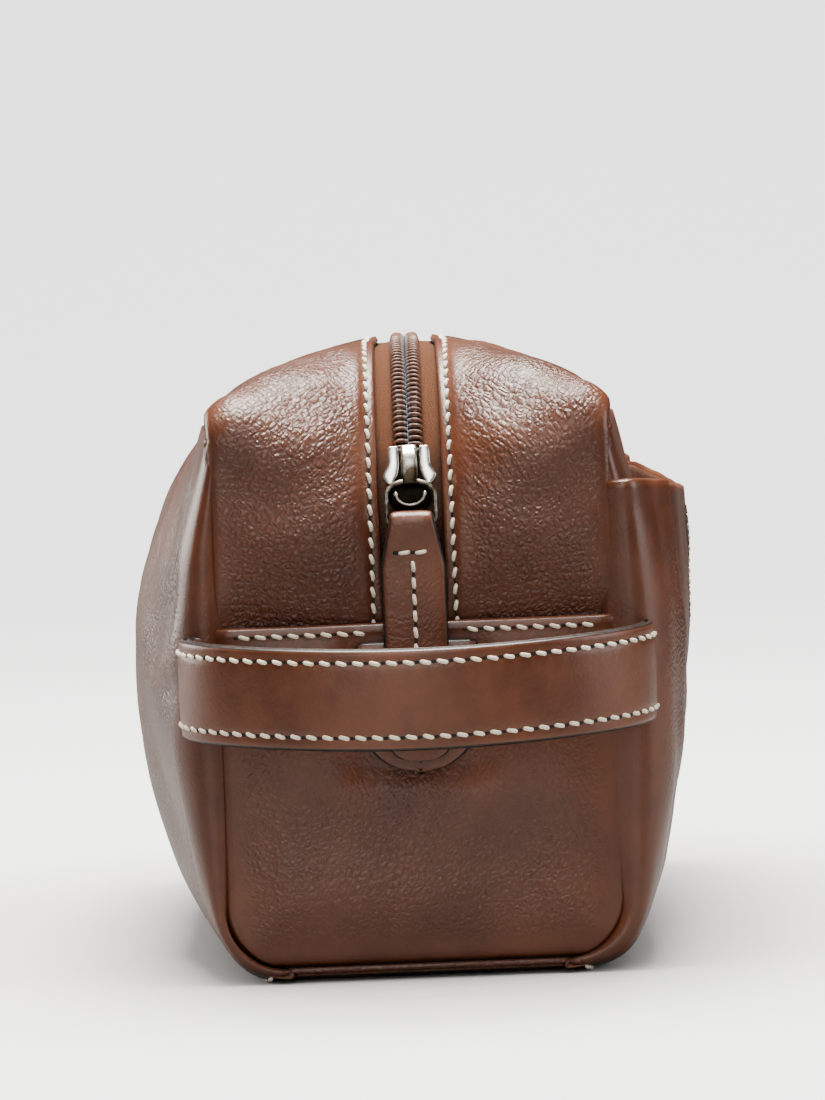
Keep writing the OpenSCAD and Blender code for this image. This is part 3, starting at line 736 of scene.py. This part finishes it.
def zip_tape(corner):
    sx, sy = CORNERS[corner]
    s = np.linspace(-3, SPINE_L, 120)
    base, out = spine(s)
    y = np.array([0.4, 2.5, 4.8, 5.4, 7.0, 9.0, 11.5])
    raise_ = np.array([0, 0, 0.25, 0.1, 0, 0, 0])
    points = (base[:, None, :] + out[:, None, :] * (-TAPE_DEPTH - 0.05 + raise_)[None, :, None]
              + Y * y[None, :, None])
    normals = np.broadcast_to(out[:, None, :], points.shape)
    points, normals = mirrored(points, sx, sy), mirrored(normals, sx, sy)
    return sheet_mesh("zip_tape_" + corner, points, normals, 0.8, [tape_cloth] * 3, flip=sx * sy > 0,
                      joined=True)


def zip_coil(corner):
    """One nylon coil wound from a single filament, its loops meeting those of the other."""
    sx, sy = CORNERS[corner]
    turns = int((SPINE_L + 2) / COIL_PITCH)
    steps = 12
    t = np.arange(turns * steps + 1) / steps
    s = -2 + t * COIL_PITCH + (COIL_PITCH / 2 if sy > 0 else 0)
    s = np.minimum(s, SPINE_L + 0.6)
    angle = 2 * math.pi * t
    base, out = spine(s)
    y = 2.25 + 1.68 * np.cos(angle) - 0.22 * np.cos(2 * angle)
    rise = -0.55 + 1.12 * np.sin(angle)
    path = base + out * rise[:, None] + Y * y[:, None]
    path[:, 0] = np.minimum(path[:, 0], -0.05)
    path = mirrored(path, sx, sy)
    points = tube_points(path, 0.44, 6)
    obj = new_object("zip_coil_" + corner, points.reshape(-1, 3), tube_faces(len(path), 6), [nylon])
    return obj


# ---------------------------------------------------------------- stitching

STITCH_SIDES = 8
HOLE_R = 0.72
STITCH_RINGS = 7


def resample(path, normals, pitch, margin=0.0):
    """Evenly spaced points along a line, with the normal and direction at each."""
    steps = np.linalg.norm(np.diff(path, axis=0), axis=1)
    s = np.concatenate([[0], np.cumsum(steps)])
    count = max(1, int((s[-1] - 2 * margin) / pitch))
    start = (s[-1] - count * pitch) / 2
    at = start + pitch * (np.arange(count) + 0.5)
    take = lambda values, where: np.stack([np.interp(where, s, values[:, c]) for c in range(3)], axis=1)
    centres, n = take(path, at), unit(take(normals, at))
    ahead, behind = take(path, at + pitch * 0.4), take(path, at - pitch * 0.4)
    return centres, n, unit(ahead - behind)


def stitch_rows(name, rows, pitch=PITCH, slant=11.0, length=0.64, radius=THREAD_R, lift=0.05):
    """Slanted stitches of waxed thread with the holes between them, each hole a near-black disc of painted shade. rows
    holds lines of points and the surface's normals along them."""
    verts, faces, kinds = [], [], []
    rng = np.random.default_rng(len(name))
    lean = math.radians(slant)
    for path, normals in rows:
        centres, n, t = resample(path, normals, pitch)
        side = np.cross(n, t)
        for c, up, along, across in zip(centres, n, t, side):
            tilt = lean + rng.normal() * 0.03
            d = along * math.cos(tilt) + across * math.sin(tilt)
            u = np.linspace(-1, 1, STITCH_RINGS)
            arch = lift + 0.30 * (1 - u ** 2) - 0.5 * np.abs(u) ** 5
            line = c + d * (u * pitch * length / 2)[:, None] + up * arch[:, None]
            rings = tube_points(line, radius * (1 - 0.35 * u ** 6), STITCH_SIDES, up)
            faces += tube_faces(STITCH_RINGS, STITCH_SIDES, len(verts))
            kinds += [0] * (len(faces) - len(kinds))
            verts += rings.reshape(-1, 3).tolist()
            # A near-black disc at each hole, painted shade standing in for the hole's shadowed inside.
            hole = c + along * pitch / 2
            turn = np.linspace(0, 2 * math.pi, 9, endpoint=False)
            rim = hole + HOLE_R * (1.3 * np.cos(turn)[:, None] * along + np.sin(turn)[:, None] * across)
            start = len(verts)
            verts += (rim - up * 0.1).tolist() + [(hole + up * 0.25).tolist()]
            faces += [[start + i, start + (i + 1) % 9, start + 9] for i in range(9)]
            kinds += [1] * 9
    return new_object(name, verts, faces, [thread, hole_shade], kinds)


def grid_line(points, normals, j):
    return points[:, j], normals[:, j]


# ---------------------------------------------------------------- building the bag

def put(obj, body, nodes=()):
    """Attaches a finished piece to its body, if one is given, and hides the CAD parts it stands in for."""
    if body:
        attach(obj, body)
    if nodes:
        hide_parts(*nodes)
    return obj


def build_body():
    for side, word in ((-1, "front_panel"), (1, "back_panel")):
        panel, cloth = side_panel(side, word + "_leather")
        put(panel, "bag", [word])
        put(cloth, "bag", ["body_lining"])
    put(base_strip(), "bag", ["base_panel"])
    put(base_lining(), "bag", ["body_lining"])
    for end, word, node in ((-1, "near", "left"), (1, "far", "right")):
        panel, stitching = end_panel(end, "end_panel_" + word)
        put(panel, "bag", ["end_panel_" + node])
        put(stitching, "bag")


def build_top():
    for corner, (sx, sy) in CORNERS.items():
        end = "left" if sx > 0 else "right"
        flap = "flap_front" if sy < 0 else "flap_back"
        strip, cloth = top_strip(corner)
        put(strip, None, ["shoulder_" + corner, flap])
        put(cloth, None, [flap + "_lining"])
        tape = put(zip_tape(corner), None, ["zip_tape_" + end, flap + "_tape"])
        coil = put(zip_coil(corner), None, ["zip_coil_" + end, flap + "_coil"])
        points, normals, _ = STRIP
        row = grid_line(mirrored(points, sx, sy), mirrored(normals, sx, sy), 4)
        slant = 14 if sx * sy > 0 else -14
        seam = stitch_rows("zip_seam_" + corner, [row], slant=slant)
        for piece in (strip, cloth, tape, coil, seam):
            bend_with_flap(piece)


def finish_cad_nodes():
    nodes = frame["nodes"]
    looks = {"end_lining_left": twill, "end_lining_right": twill, "base_board": board}
    for name, material in looks.items():
        nodes[name].data.materials.clear()
        nodes[name].data.materials.append(material)


# ---------------------------------------------------------------- handle

HANDLE_Z = 81.5
HANDLE_W = 25.0
HANDLE_HALF = 61.5
BOW_X = -129.5
BOW_DEPTH = 39.5
STRAP_LAYER = 1.8


def strap_line():
    """Centre line of the strap from one end seam to the other, seen from above."""
    a = np.radians(np.linspace(-90, 90, 91))
    bow = np.stack([BOW_X - BOW_DEPTH * np.cos(a), HANDLE_HALF * np.sin(a)], axis=1)
    turn = np.radians(np.linspace(0, 80, 12))
    r = 3.2
    root = np.stack([BOW_X + r * np.sin(turn), HANDLE_HALF - r * (1 - np.cos(turn))], axis=1)
    tail = root[-1] + np.linspace(0.8, 4, 4)[:, None] * np.array([math.cos(math.radians(80)),
                                                                  -math.sin(math.radians(80))])
    half = np.concatenate([root[1:], tail])
    other = half * np.array([1, -1])
    return np.concatenate([other[::-1], bow, half])


def strap(name):
    line = strap_line()
    tangent = unit(np.gradient(line, axis=0))
    outward = np.stack([-tangent[:, 1], tangent[:, 0]], axis=1)
    if outward[len(line) // 2, 0] > 0:
        outward = -outward
    s = np.concatenate([[0], np.cumsum(np.linalg.norm(np.diff(line, axis=0), axis=1))])
    u = np.linspace(-1, 1, 27)
    u = np.sign(u) * (1 - (1 - np.abs(u)) ** 1.25)
    middle = np.exp(-((s - s[-1] / 2) / 60) ** 2)
    z = HANDLE_Z + u[None, :] * HANDLE_W / 2 - 2.8 * middle[:, None]
    crown = 0.5 * (1 - u ** 4)[None, :] - 0.3 * bump_at(np.abs(u), 0.80, 0.06)[None, :]
    out3 = np.stack([outward[:, 0], outward[:, 1], 0 * s], axis=1)
    base = np.stack([line[:, 0], line[:, 1], 0 * s], axis=1)
    pieces = []
    for layer, (low, face) in enumerate(((0.05, STRAP_LAYER), (-STRAP_LAYER, -0.05))):
        depth = face + (crown if layer == 0 else 0 * crown)
        points = base[:, None, :] + out3[:, None, :] * depth[..., None]
        points[..., 2] = z
        normals = np.broadcast_to(out3[:, None, :], points.shape)
        obj = sheet_mesh(f"{name}_{'face' if layer == 0 else 'backing'}", points, normals,
                         face - low, [strap_leather, strap_leather, edge_paint], flip=True,
                         inset=6 + 0 * points[..., 0])
        pieces.append(obj)
        if layer == 0:
            rows = [grid_line(points, normals, int(np.argmin(np.abs(u - v)))) for v in (-0.80, 0.80)]
    rows = [(p[13:-13], n[13:-13]) for p, n in rows]
    stitching = stitch_rows("handle_stitching", rows, slant=-14)
    return pieces, stitching


def build_handle():
    (face, backing), stitching = strap("handle")
    put(face, None, ["handle_face", "handle_end_front", "handle_end_back"])
    put(backing, None, ["handle_backing"])
    for piece in (face, backing, stitching):
        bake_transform(piece)


# ---------------------------------------------------------------- pocket

POCKET_HALF = HALF_L - 0.2 * ROLL
POCKET_START = 0.05
POCKET_GAPE = 11.5
POCKET_FOOT = 44.0


def mouth_z(x):
    return EAVE_Z - 19 - 10 * (1 - (x / POCKET_HALF) ** 2)


def stand_off(x, z):
    lift = np.clip((z - POCKET_FOOT) / (mouth_z(x) - POCKET_FOOT), 0, 1) ** 1.3
    return POCKET_GAPE * np.clip(1 - (x / POCKET_HALF) ** 2, 0, 1) ** 0.8 * lift


def pocket_grid(x, share, t, out, folds=True):
    """Points of the pocket: t runs from its foot to its mouth."""
    k = mix(POCKET_START, level_at(mouth_z(x)), t)
    points = side_grid(-1, x, share, k)
    normals = grid_normals(points)
    z = points[..., 2]
    from_end = HALF_L - np.abs(x)
    off = stand_off(x, z) + out
    if folds:
        near_mouth = smooth((t - 0.35) / 0.6)
        crease = 2.2 * bump_at(from_end, 20 + 5 * (1 - t), 4.5) - 1.6 * bump_at(from_end, 30 + 6 * (1 - t), 6)
        off = off + crease * near_mouth
        off = off + 0.5 * ripples(points, 33, 71) * smooth(from_end / 30) * near_mouth
        off = off + np.maximum(slump(points, -1), -0.1) * 0.6
    return points + normals * off[..., None], normals


def pocket_panel():
    x, share = side_stations()
    t = np.concatenate([np.linspace(0, 0.9, 50), np.linspace(0.9, 1, 12)[1:]])[None, :]
    at_seam = smooth((share + 0.1) / 0.7)
    seat = (0.5 + (LEATHER_T - 0.1) * at_seam) * smooth(t / 0.3) + 0.9 * bump_at(share, 0.32, 0.3)
    points, _ = pocket_grid(x, share, t, seat)
    lip = smooth((t - 0.97) / 0.03)
    normals = grid_normals(points)
    points = points + normals * (0.5 * lip)[..., None]
    inset = np.minimum((1 - t) * 90 + 0 * x, HALF_L - np.abs(x) + 0 * t)
    return sheet_mesh("pocket_leather", points, normals, LEATHER_T,
                      [panel_leather, flesh, fold_edge], inset=inset)


LABEL_HALF = 23.0
LABEL_TOP = 116.0
LABEL_H = 34.0


def label():
    x = np.linspace(-LABEL_HALF, LABEL_HALF, 41)[:, None]
    z = np.linspace(LABEL_TOP - LABEL_H, LABEL_TOP, 31)[None, :]
    t = (level_at(z) - POCKET_START) / (level_at(mouth_z(x)) - POCKET_START)
    fine = np.linspace(0, 1, 400)[None, :]
    near, _ = pocket_grid(x, np.ones_like(x), fine, LEATHER_T + 0.45)
    normals = grid_normals(near)
    points = np.zeros((len(x), z.shape[1], 3))
    n = np.zeros_like(points)
    for i in range(len(x)):
        for c in range(3):
            points[i, :, c] = np.interp(t[i], fine[0], near[i, :, c])
            n[i, :, c] = np.interp(t[i], fine[0], normals[i, :, c])
    n = unit(n)
    points = points + n * 0.3
    obj = sheet_mesh("label_leather", points, n, 1.2, [label_leather, flesh, edge_paint],
                     inset=8 + 0 * points[..., 0])
    i0, i1, j0, j1 = 2, len(x) - 3, 2, z.shape[1] - 3
    loop = [(points[i0:i1 + 1, j0], n[i0:i1 + 1, j0]), (points[i1, j0:j1 + 1], n[i1, j0:j1 + 1]),
            (points[i1:i0 - 1:-1, j1], n[i1:i0 - 1:-1, j1]), (points[i0, j1:j0 - 1:-1], n[i0, j1:j0 - 1:-1])]
    return obj, stitch_rows("label_stitching", loop, pitch=3.2, radius=0.3, lift=-0.16)


def build_pocket():
    put(pocket_panel(), "bag", ["pocket_panel"])
    patch, stitching = label()
    put(patch, "bag", ["label_patch"])
    put(stitching, "bag")


# ---------------------------------------------------------------- end tabs and seams

TAB_HALF = 15.5
TAB_L = 39.0


def end_tab(end, name):
    """The rounded leather tab that covers the end of the zip."""
    t = np.concatenate([np.linspace(0, 0.6, 18), 1 - 0.4 * np.cos(np.linspace(0, math.pi / 2, 18))[1:]])
    z = SPLIT_Z - 4.6 - (TAB_L - 4.6) * t
    depth = np.clip(z - (SPLIT_Z - TAB_L + TAB_HALF), -TAB_HALF, 0)
    half = np.maximum(np.sqrt(np.maximum(TAB_HALF ** 2 - depth ** 2, 0)), 0.8)
    s = np.linspace(-1, 1, 21)
    y = half[:, None] * s[None, :]
    zz = np.broadcast_to(z[:, None], y.shape)
    x = np.full(y.shape, -HALF_L - 2.75) - 0.25 * (1 - s[None, :] ** 2)
    points = np.stack([x, y, zz], axis=-1)
    if end > 0:
        points[..., 0] *= -1
    normals = np.broadcast_to(np.array([end, 0, 0.0]), points.shape)
    return sheet_mesh(name, points, normals, 1.9, [strap_leather, flesh, edge_paint],
                      flip=end < 0, inset=8 + 0 * y)


def base_seam_rows():
    rows = []
    x, share = side_stations(4.0, 12)
    for side in (-1, 1):
        k = np.array([[0.03, 0.055, 0.08]])
        points = side_grid(side, x, np.clip(share, 0.0, 1), k)
        normals = grid_normals(points, side > 0)
        points = points + normals * (0.9 * bump_at(share, 0.32, 0.3))[..., None]
        points[..., 2] = np.maximum(points[..., 2], THREAD_R + 0.06)
        keep = share[:, 0] > -0.05
        rows.append((points[keep, 1], normals[keep, 1]))
    return rows


def build_seams():
    for end, word, node in ((-1, "near", "left"), (1, "far", "right")):
        put(end_tab(end, "zip_tab_" + word), "bag", ["zip_end_tab_" + node])
    put(stitch_rows("base_stitching", base_seam_rows(), slant=8), "bag")


# ---------------------------------------------------------------- slider and pull

SLIDER_FROM, SLIDER_TO = 12.5, 28.8
PLATE_OUT = 61.0
UNDER_OUT = 54.6
PIN_ANGLE = 19.015
PIN_R = 63.45
LEG_Y = 6.5
ARCH_RISE = 4.2
WIRE_R = 0.6
BAR = np.array([-132.6, 0, 122.973])
PULL_L = 63.5
PULL_T = 1.7
PULL_CORNER = 5.5
BAR_STITCH = -7.5     # height of the row across the pull tab, from the ring's bar
# Each wing of the slider: angle up the shoulder, inner and outer edge from its middle
WING = [(28.9, 2.9, 5.0), (28.5, 2.7, 5.4), (27, 2.7, 5.6), (25, 2.7, 5.6), (23.6, 2.7, 5.8),
        (22.4, 2.9, 6.4), (21.4, 3.1, 7.0), (20.7, 3.4, 7.1), (20.0, 3.8, 6.7), (19.1, 4.4, 6.0),
        (18.4, 4.9, 5.3)]


def polar(angle, y, r):
    """A point about the shoulder's axis: angle in degrees up from the end face."""
    angle, y, r = np.broadcast_arrays(angle, y, r)
    a = np.radians(angle)
    return np.stack([-SHOULDER_X - r * np.cos(a), y, SHOULDER_Z + r * np.sin(a)], axis=-1)


def worn(obj, values):
    """Says how polished each point of a brass piece is, and below 0 how far it is blackened by patina and painted
    shade.
    """
    set_attribute(obj, "wear_and_shade", np.broadcast_to(values, len(obj.data.vertices)))
    return obj


def plate_half(t):
    """Half width of the slider along its length: broad at its lower, open end."""
    return np.interp(t, [0, 0.05, 0.14, 0.36, 0.55, 0.8, 0.94, 1.0],
                     [3.6, 5.0, 5.9, 6.3, 6.0, 5.3, 4.9, 3.9])


def slider_plate():
    """Upper plate, with its edges turned down round the coils, painted near black: partly patina, and painted shade of
    the recess under the wings.
    """
    t = np.linspace(0, 1, 30)[:, None]
    v = np.linspace(-1, 1, 21)[None, :]
    side = np.sign(v) * (1 - (1 - np.abs(v)) ** 1.6)
    edge = smooth((np.abs(v) - 0.72) / 0.28)
    lip = bump_at(t, 0.0, 0.07) + bump_at(t, 1.0, 0.05)
    r = PLATE_OUT + 0.3 * (1 - side ** 2) - 2.5 * edge ** 2 - 0.5 * lip
    points = polar(mix(SLIDER_FROM, SLIDER_TO, t) + 0 * v, plate_half(t) * side, r)
    outward = unit(points - [-SHOULDER_X, 0, SHOULDER_Z])
    normals = grid_normals(points)
    normals = normals * np.sign((normals * outward).sum(-1).mean())
    plate = sheet_mesh("slider_plate", points, normals, 1.1, [old_brass] * 3, flip=True, round_edge=0.4)
    # -0.9 makes the plate near black: painted shade under the wings and bridge, as well as patina.
    return worn(plate, -0.9)


def slider_wing(side, name):
    """One of the two bright cheeks beside the bridge, flaring to a pointed shoulder."""
    turn = np.linspace(0, 2 * math.pi, 20, endpoint=False) * side
    flat = lambda v: np.sign(v) * np.abs(v) ** 0.4
    fine = np.linspace(0, 1, 34)
    angle, inner, outer = (np.interp(fine, np.linspace(0, 1, len(WING)), c) for c in zip(*WING))
    ends = np.minimum(1, smooth(fine / 0.06) * 0.5 + 0.5) * np.minimum(1, smooth((1 - fine) / 0.08) * 0.6 + 0.4)
    sections = [polar(a, side * ((i + o) / 2 + (o - i) / 2 * flat(np.cos(turn))),
                      PLATE_OUT + 0.25 + 0.8 * e * flat(np.sin(turn)))
                for a, i, o, e in zip(angle, inner, outer, ends)]
    return worn(loft(name, sections, [old_brass]), 0.9)


def slider_under():
    t = np.linspace(0, 1, 14)[:, None]
    v = np.linspace(-1, 1, 9)[None, :]
    points = polar(mix(SLIDER_FROM, SLIDER_TO, t) + 0 * v, plate_half(t) * v, UNDER_OUT + 0 * t * v)
    outward = unit(points - np.array([-SHOULDER_X, 0, SHOULDER_Z]) * [1, 0, 1] - points * [0, 1, 0])
    return sheet_mesh("slider_under_plate", points, outward, 1.7, [old_brass] * 3, flip=True)


def slider_crown():
    """The bridge that holds the pull ring: it rises from the plate's top and ends over the pin,
    polished where it is highest."""
    t = np.linspace(0, 1, 32)
    angle = mix(SLIDER_TO + 0.1, PIN_ANGLE - 0.9, t)
    rise = 1.6 + 2.6 * np.sin(math.pi * np.clip(t * 0.75 + 0.05, 0, 1)) ** 0.7
    r = PLATE_OUT - 0.6 + rise * smooth(t / 0.1 + 0.3)
    half = np.interp(t, [0, 0.08, 0.3, 0.8, 1], [1.6, 2.0, 2.1, 2.2, 1.7])
    turn = np.linspace(0, 2 * math.pi, 16, endpoint=False)
    flat = lambda v: np.sign(v) * np.abs(v) ** 0.55
    sections = [polar(a, h * flat(np.cos(turn)), rr + 0.7 * flat(np.sin(turn)))
                for a, h, rr in zip(angle, half, r)]
    bridge = loft("slider_bridge", sections, [old_brass])
    return worn(bridge, np.repeat(0.9 - 1.15 * smooth((t - 0.3) / 0.5), 16))


def slider_lip():
    """The rim round the hollow where the pull ring turns, worn bright at its two ends."""
    a = np.linspace(-1, 1, 33)
    path = polar(16.6 - 3.3 * np.cos(a * math.pi / 2), 3.9 * np.sin(a * math.pi / 2), PLATE_OUT + 0.7)
    radius = 0.42 + 0.22 * smooth((np.abs(a) - 0.8) / 0.12) * np.sqrt(np.clip(1.02 - np.abs(a), 0, 1) / 0.12).clip(0, 1)
    lip = tube("slider_lip", path, radius, old_brass, 10, up=Y)
    return worn(lip, np.repeat(0.05 + 0.85 * smooth((np.abs(a) - 0.8) / 0.1), 10))


def stop_bar():
    t = np.linspace(-1, 1, 18)
    path = polar(9.0 + 0 * t, t * (CHAIN_HALF - 0.5), 60.1 - 0.25 * t ** 6)
    return path


def rounded_loop(corners, radius, steps=8):
    """A closed line through the corners, each turned with that radius."""
    corners = np.asarray(corners, float)
    out = []
    for i, c in enumerate(corners):
        a = unit(corners[i - 1] - c) * radius + c
        b = unit(corners[(i + 1) % len(corners)] - c) * radius + c
        for u in np.linspace(0, 1, steps):
            out.append((1 - u) ** 2 * a + 2 * u * (1 - u) * c + u * u * b)
    return np.array(out)


def pull_ring():
    pin = polar(PIN_ANGLE, 0.0, PIN_R)
    up = unit(pin - BAR)
    a = np.radians(np.linspace(0, 180, 25))[:, None]
    spring = pin - up * ARCH_RISE
    arch = spring + Y * LEG_Y * np.cos(a) + up * (ARCH_RISE * np.sin(a) ** 0.9)
    legs = rounded_loop([spring - Y * LEG_Y, BAR - Y * LEG_Y, BAR + Y * LEG_Y, spring + Y * LEG_Y], 1.6)
    loop = np.concatenate([arch, legs[8:24]])
    return worn(tube("pull_ring_wire", loop, WIRE_R, old_brass, 12, closed=True, up=X), -0.2)


def pull_line():
    """One strip of leather folded over the ring's bar: its face runs down the front, over the
    bar and down the back."""
    fold = 0.75 + 0.3 + 0.85
    drop = np.concatenate([PULL_L - np.array([0, 0.12, 0.35, 0.7, 1.2, 1.9, 2.8, 4, 5.5]),
                           np.linspace(PULL_L - 7.5, 9, 30), np.linspace(9, 0, 9)[1:]])
    gape = PULL_T / 2 + (fold - PULL_T / 2) * smooth(1 - drop / 10)
    front = np.stack([-gape, -drop], axis=1)
    a = np.radians(np.linspace(0, 180, 15))[1:-1]
    over = np.stack([-fold * np.cos(a), fold * np.sin(a)], axis=1)
    back = np.stack([gape, -drop], axis=1)[::-1]
    return np.concatenate([front, over, back]), len(drop)


def pull_half(z):
    """Half width of the pull tab at a height below the bar."""
    turn = np.sqrt(np.clip(1 - (1 - np.clip((z + PULL_L) / PULL_CORNER, 0, 1)) ** 2, 0, 1))
    wide = np.interp(z, [-PULL_L, -12, -6, 0, 4], [7.95, 7.95, 6.7, 5.4, 5.2])
    return wide - PULL_CORNER * (1 - turn)


def build_pull_tab():
    line, n_front = pull_line()
    tangent = unit(np.gradient(line, axis=0))
    out = np.stack([-tangent[:, 1], 0 * tangent[:, 0], tangent[:, 0]], axis=1)
    v = np.linspace(-1, 1, 19)
    half = pull_half(line[:, 1])
    points = BAR + np.stack([np.broadcast_to(line[:, 0][:, None], (len(line), 19)),
                             half[:, None] * v[None, :],
                             np.broadcast_to(line[:, 1][:, None], (len(line), 19))], axis=-1)
    crown = 0.35 * (1 - v ** 4)
    normals = np.broadcast_to(out[:, None, :], points.shape)
    points = points + normals * (PULL_T / 2 - 0.05 + crown[None, :, None])
    obj = sheet_mesh("pull_tab_leather", points, normals, PULL_T - 0.1,
                     [strap_leather, flesh, edge_paint], flip=True, inset=8 + 0 * points[..., 0])
    face, face_n = points[:n_front], normals[:n_front]
    z = face[:, 9, 2] - BAR[2]
    column = (z < BAR_STITCH) & (z > -PULL_L + 3)
    rows = [(face[column, 9][::-1], face_n[column, 9][::-1])]
    i = int(np.argmin(np.abs(z - BAR_STITCH)))
    across = np.linspace(-4.4, 4.4, 9)[:, None]
    rows.append((face[i, 9] + Y * across, np.broadcast_to(face_n[i, 9], (9, 3))))
    stitching = stitch_rows("pull_tab_stitching", rows, slant=6)
    put(obj, "pull_tab", ["pull_tab_face", "pull_tab_backing"])
    put(stitching, "pull_tab")


def build_slider():
    put(slider_plate(), "slider", ["slider_body"])
    put(slider_under(), "slider", ["slider_body"])
    put(slider_lip(), "slider", ["slider_body"])
    for side, word in ((-1, "front"), (1, "back")):
        put(slider_wing(side, "slider_wing_" + word), "slider", ["slider_body"])
    put(slider_crown(), "slider", ["slider_crown"])
    build_pull_tab()
    put(pull_ring(), "pull_ring", ["pull_ring"])
    for sx, word, node in ((1, "near", "left"), (-1, "far", "right")):
        path = stop_bar() * np.array([sx, 1, 1])
        put(tube("zip_stop_" + word, path, 0.85, old_brass, 10), "bag", ["zip_stop_" + node])


# ---------------------------------------------------------------- stage, light and camera

def build_stage():
    """A pale floor that curves up into a backdrop behind the bag."""
    t = np.concatenate([[-4000.0], np.linspace(-2500, 1500, 9)])
    profile = [(x, 0.0) for x in t]
    a = np.radians(np.linspace(0, 90, 14))
    profile += [(1500 + 900 * math.sin(v), 900 * (1 - math.cos(v))) for v in a[1:]]
    profile += [(2400, 4000)]
    verts, faces = [], []
    for x, z in profile:
        verts += [(x, -4000, z), (x, 4000, z)]
    for i in range(len(profile) - 1):
        faces.append([2 * i, 2 * i + 2, 2 * i + 3, 2 * i + 1][::-1])
    material, tree, bsdf = new_material("studio_floor")
    place = add(tree, "ShaderNodeTexCoord").outputs["Object"]
    noise = add(tree, "ShaderNodeTexNoise", {"Vector": place, "Scale": 3.0, "Detail": 2.0}).outputs[0]
    seen = add(tree, "ShaderNodeLightPath").outputs["Is Camera Ray"]
    paper = blend_colours(tree, noise, (0.50, 0.50, 0.50), (0.52, 0.52, 0.52))
    socket(blend_colours(tree, seen, (0.25, 0.25, 0.25), paper), bsdf.inputs["Base Color"])
    bsdf.inputs["Emission Color"].default_value = (1, 1, 1, 1)
    # Camera rays see the floor glow evenly; ambient occlusion dims that glow near the bag as a painted contact shadow.
    shade = add(tree, "ShaderNodeAmbientOcclusion", {"Distance": 0.14}, samples=12).outputs["AO"]
    glow_with_painted_shadow = math_node(tree, "MULTIPLY", math_node(tree, "POWER", shade, 3.0), 2.4)
    socket(math_node(tree, "MULTIPLY", seen, glow_with_painted_shadow), bsdf.inputs["Emission Strength"])
    bsdf.inputs["Roughness"].default_value = 0.7
    floor = new_object("studio_floor", verts, faces, [material])


WARM = (1.0, 0.95, 0.88)


def area_light(name, place, target, size, power, colour=(1, 1, 1)):
    data = bpy.data.lights.new(name, "AREA")
    data.shape = "RECTANGLE"
    data.size, data.size_y = size
    data.energy = power
    data.color = colour
    light = bpy.data.objects.new(name, data)
    light.location = place
    light.rotation_euler = (Vector(target) - Vector(place)).to_track_quat("-Z", "Y").to_euler()
    bpy.context.scene.collection.objects.link(light)
    return light


def build_lights():
    world = bpy.data.worlds.new("studio")
    world.use_nodes = True
    world.node_tree.nodes["Background"].inputs["Color"].default_value = (1, 1, 1, 1)
    world.node_tree.nodes["Background"].inputs["Strength"].default_value = 0.13
    bpy.context.scene.world = world
    area_light("overhead_softbox", (0.08, 0.0, 1.15), (0, 0, 0.1), (0.6, 0.8), 62, WARM)
    area_light("left_softbox", (0.75, 1.2, 0.50), (0, 0, 0.09), (1.0, 0.8), 18, WARM)
    area_light("right_softbox", (-0.35, -1.3, 0.55), (0, 0, 0.09), (0.8, 0.9), 8)
    area_light("front_strip", (-1.28, 0, 1.1), (-0.13, 0, 0.13), (0.3, 0.9), 5.5)
    area_light("front_fill", (-1.9, 0.3, 0.55), (0, 0, 0.09), (1.2, 0.8), 7.5, WARM)


CAMERA_AT = (-1.427, 0.0, 0.182)
CAMERA_PITCH = 2.94
CAMERA_ROLL = 2.3
CAMERA_LENS = 159.5


def build_camera():
    data = bpy.data.cameras.new("photo_camera")
    data.lens = CAMERA_LENS
    data.sensor_width = 36
    camera = bpy.data.objects.new("photo_camera", data)
    pitch, roll = math.radians(CAMERA_PITCH), math.radians(CAMERA_ROLL)
    forward = Vector((math.cos(pitch), 0, -math.sin(pitch)))
    right = Vector((0, -1, 0))
    up = right.cross(forward)
    tilted_up = up * math.cos(roll) + right * math.sin(roll)
    tilted_right = right * math.cos(roll) - up * math.sin(roll)
    turn = Matrix((tilted_right, tilted_up, -forward)).transposed()
    camera.matrix_world = Matrix.Translation(CAMERA_AT) @ turn.to_4x4()
    bpy.context.scene.collection.objects.link(camera)
    bpy.context.scene.camera = camera


build_body()
build_top()
build_handle()
build_pocket()
build_seams()
build_slider()
finish_cad_nodes()
build_stage()
build_lights()
build_camera()
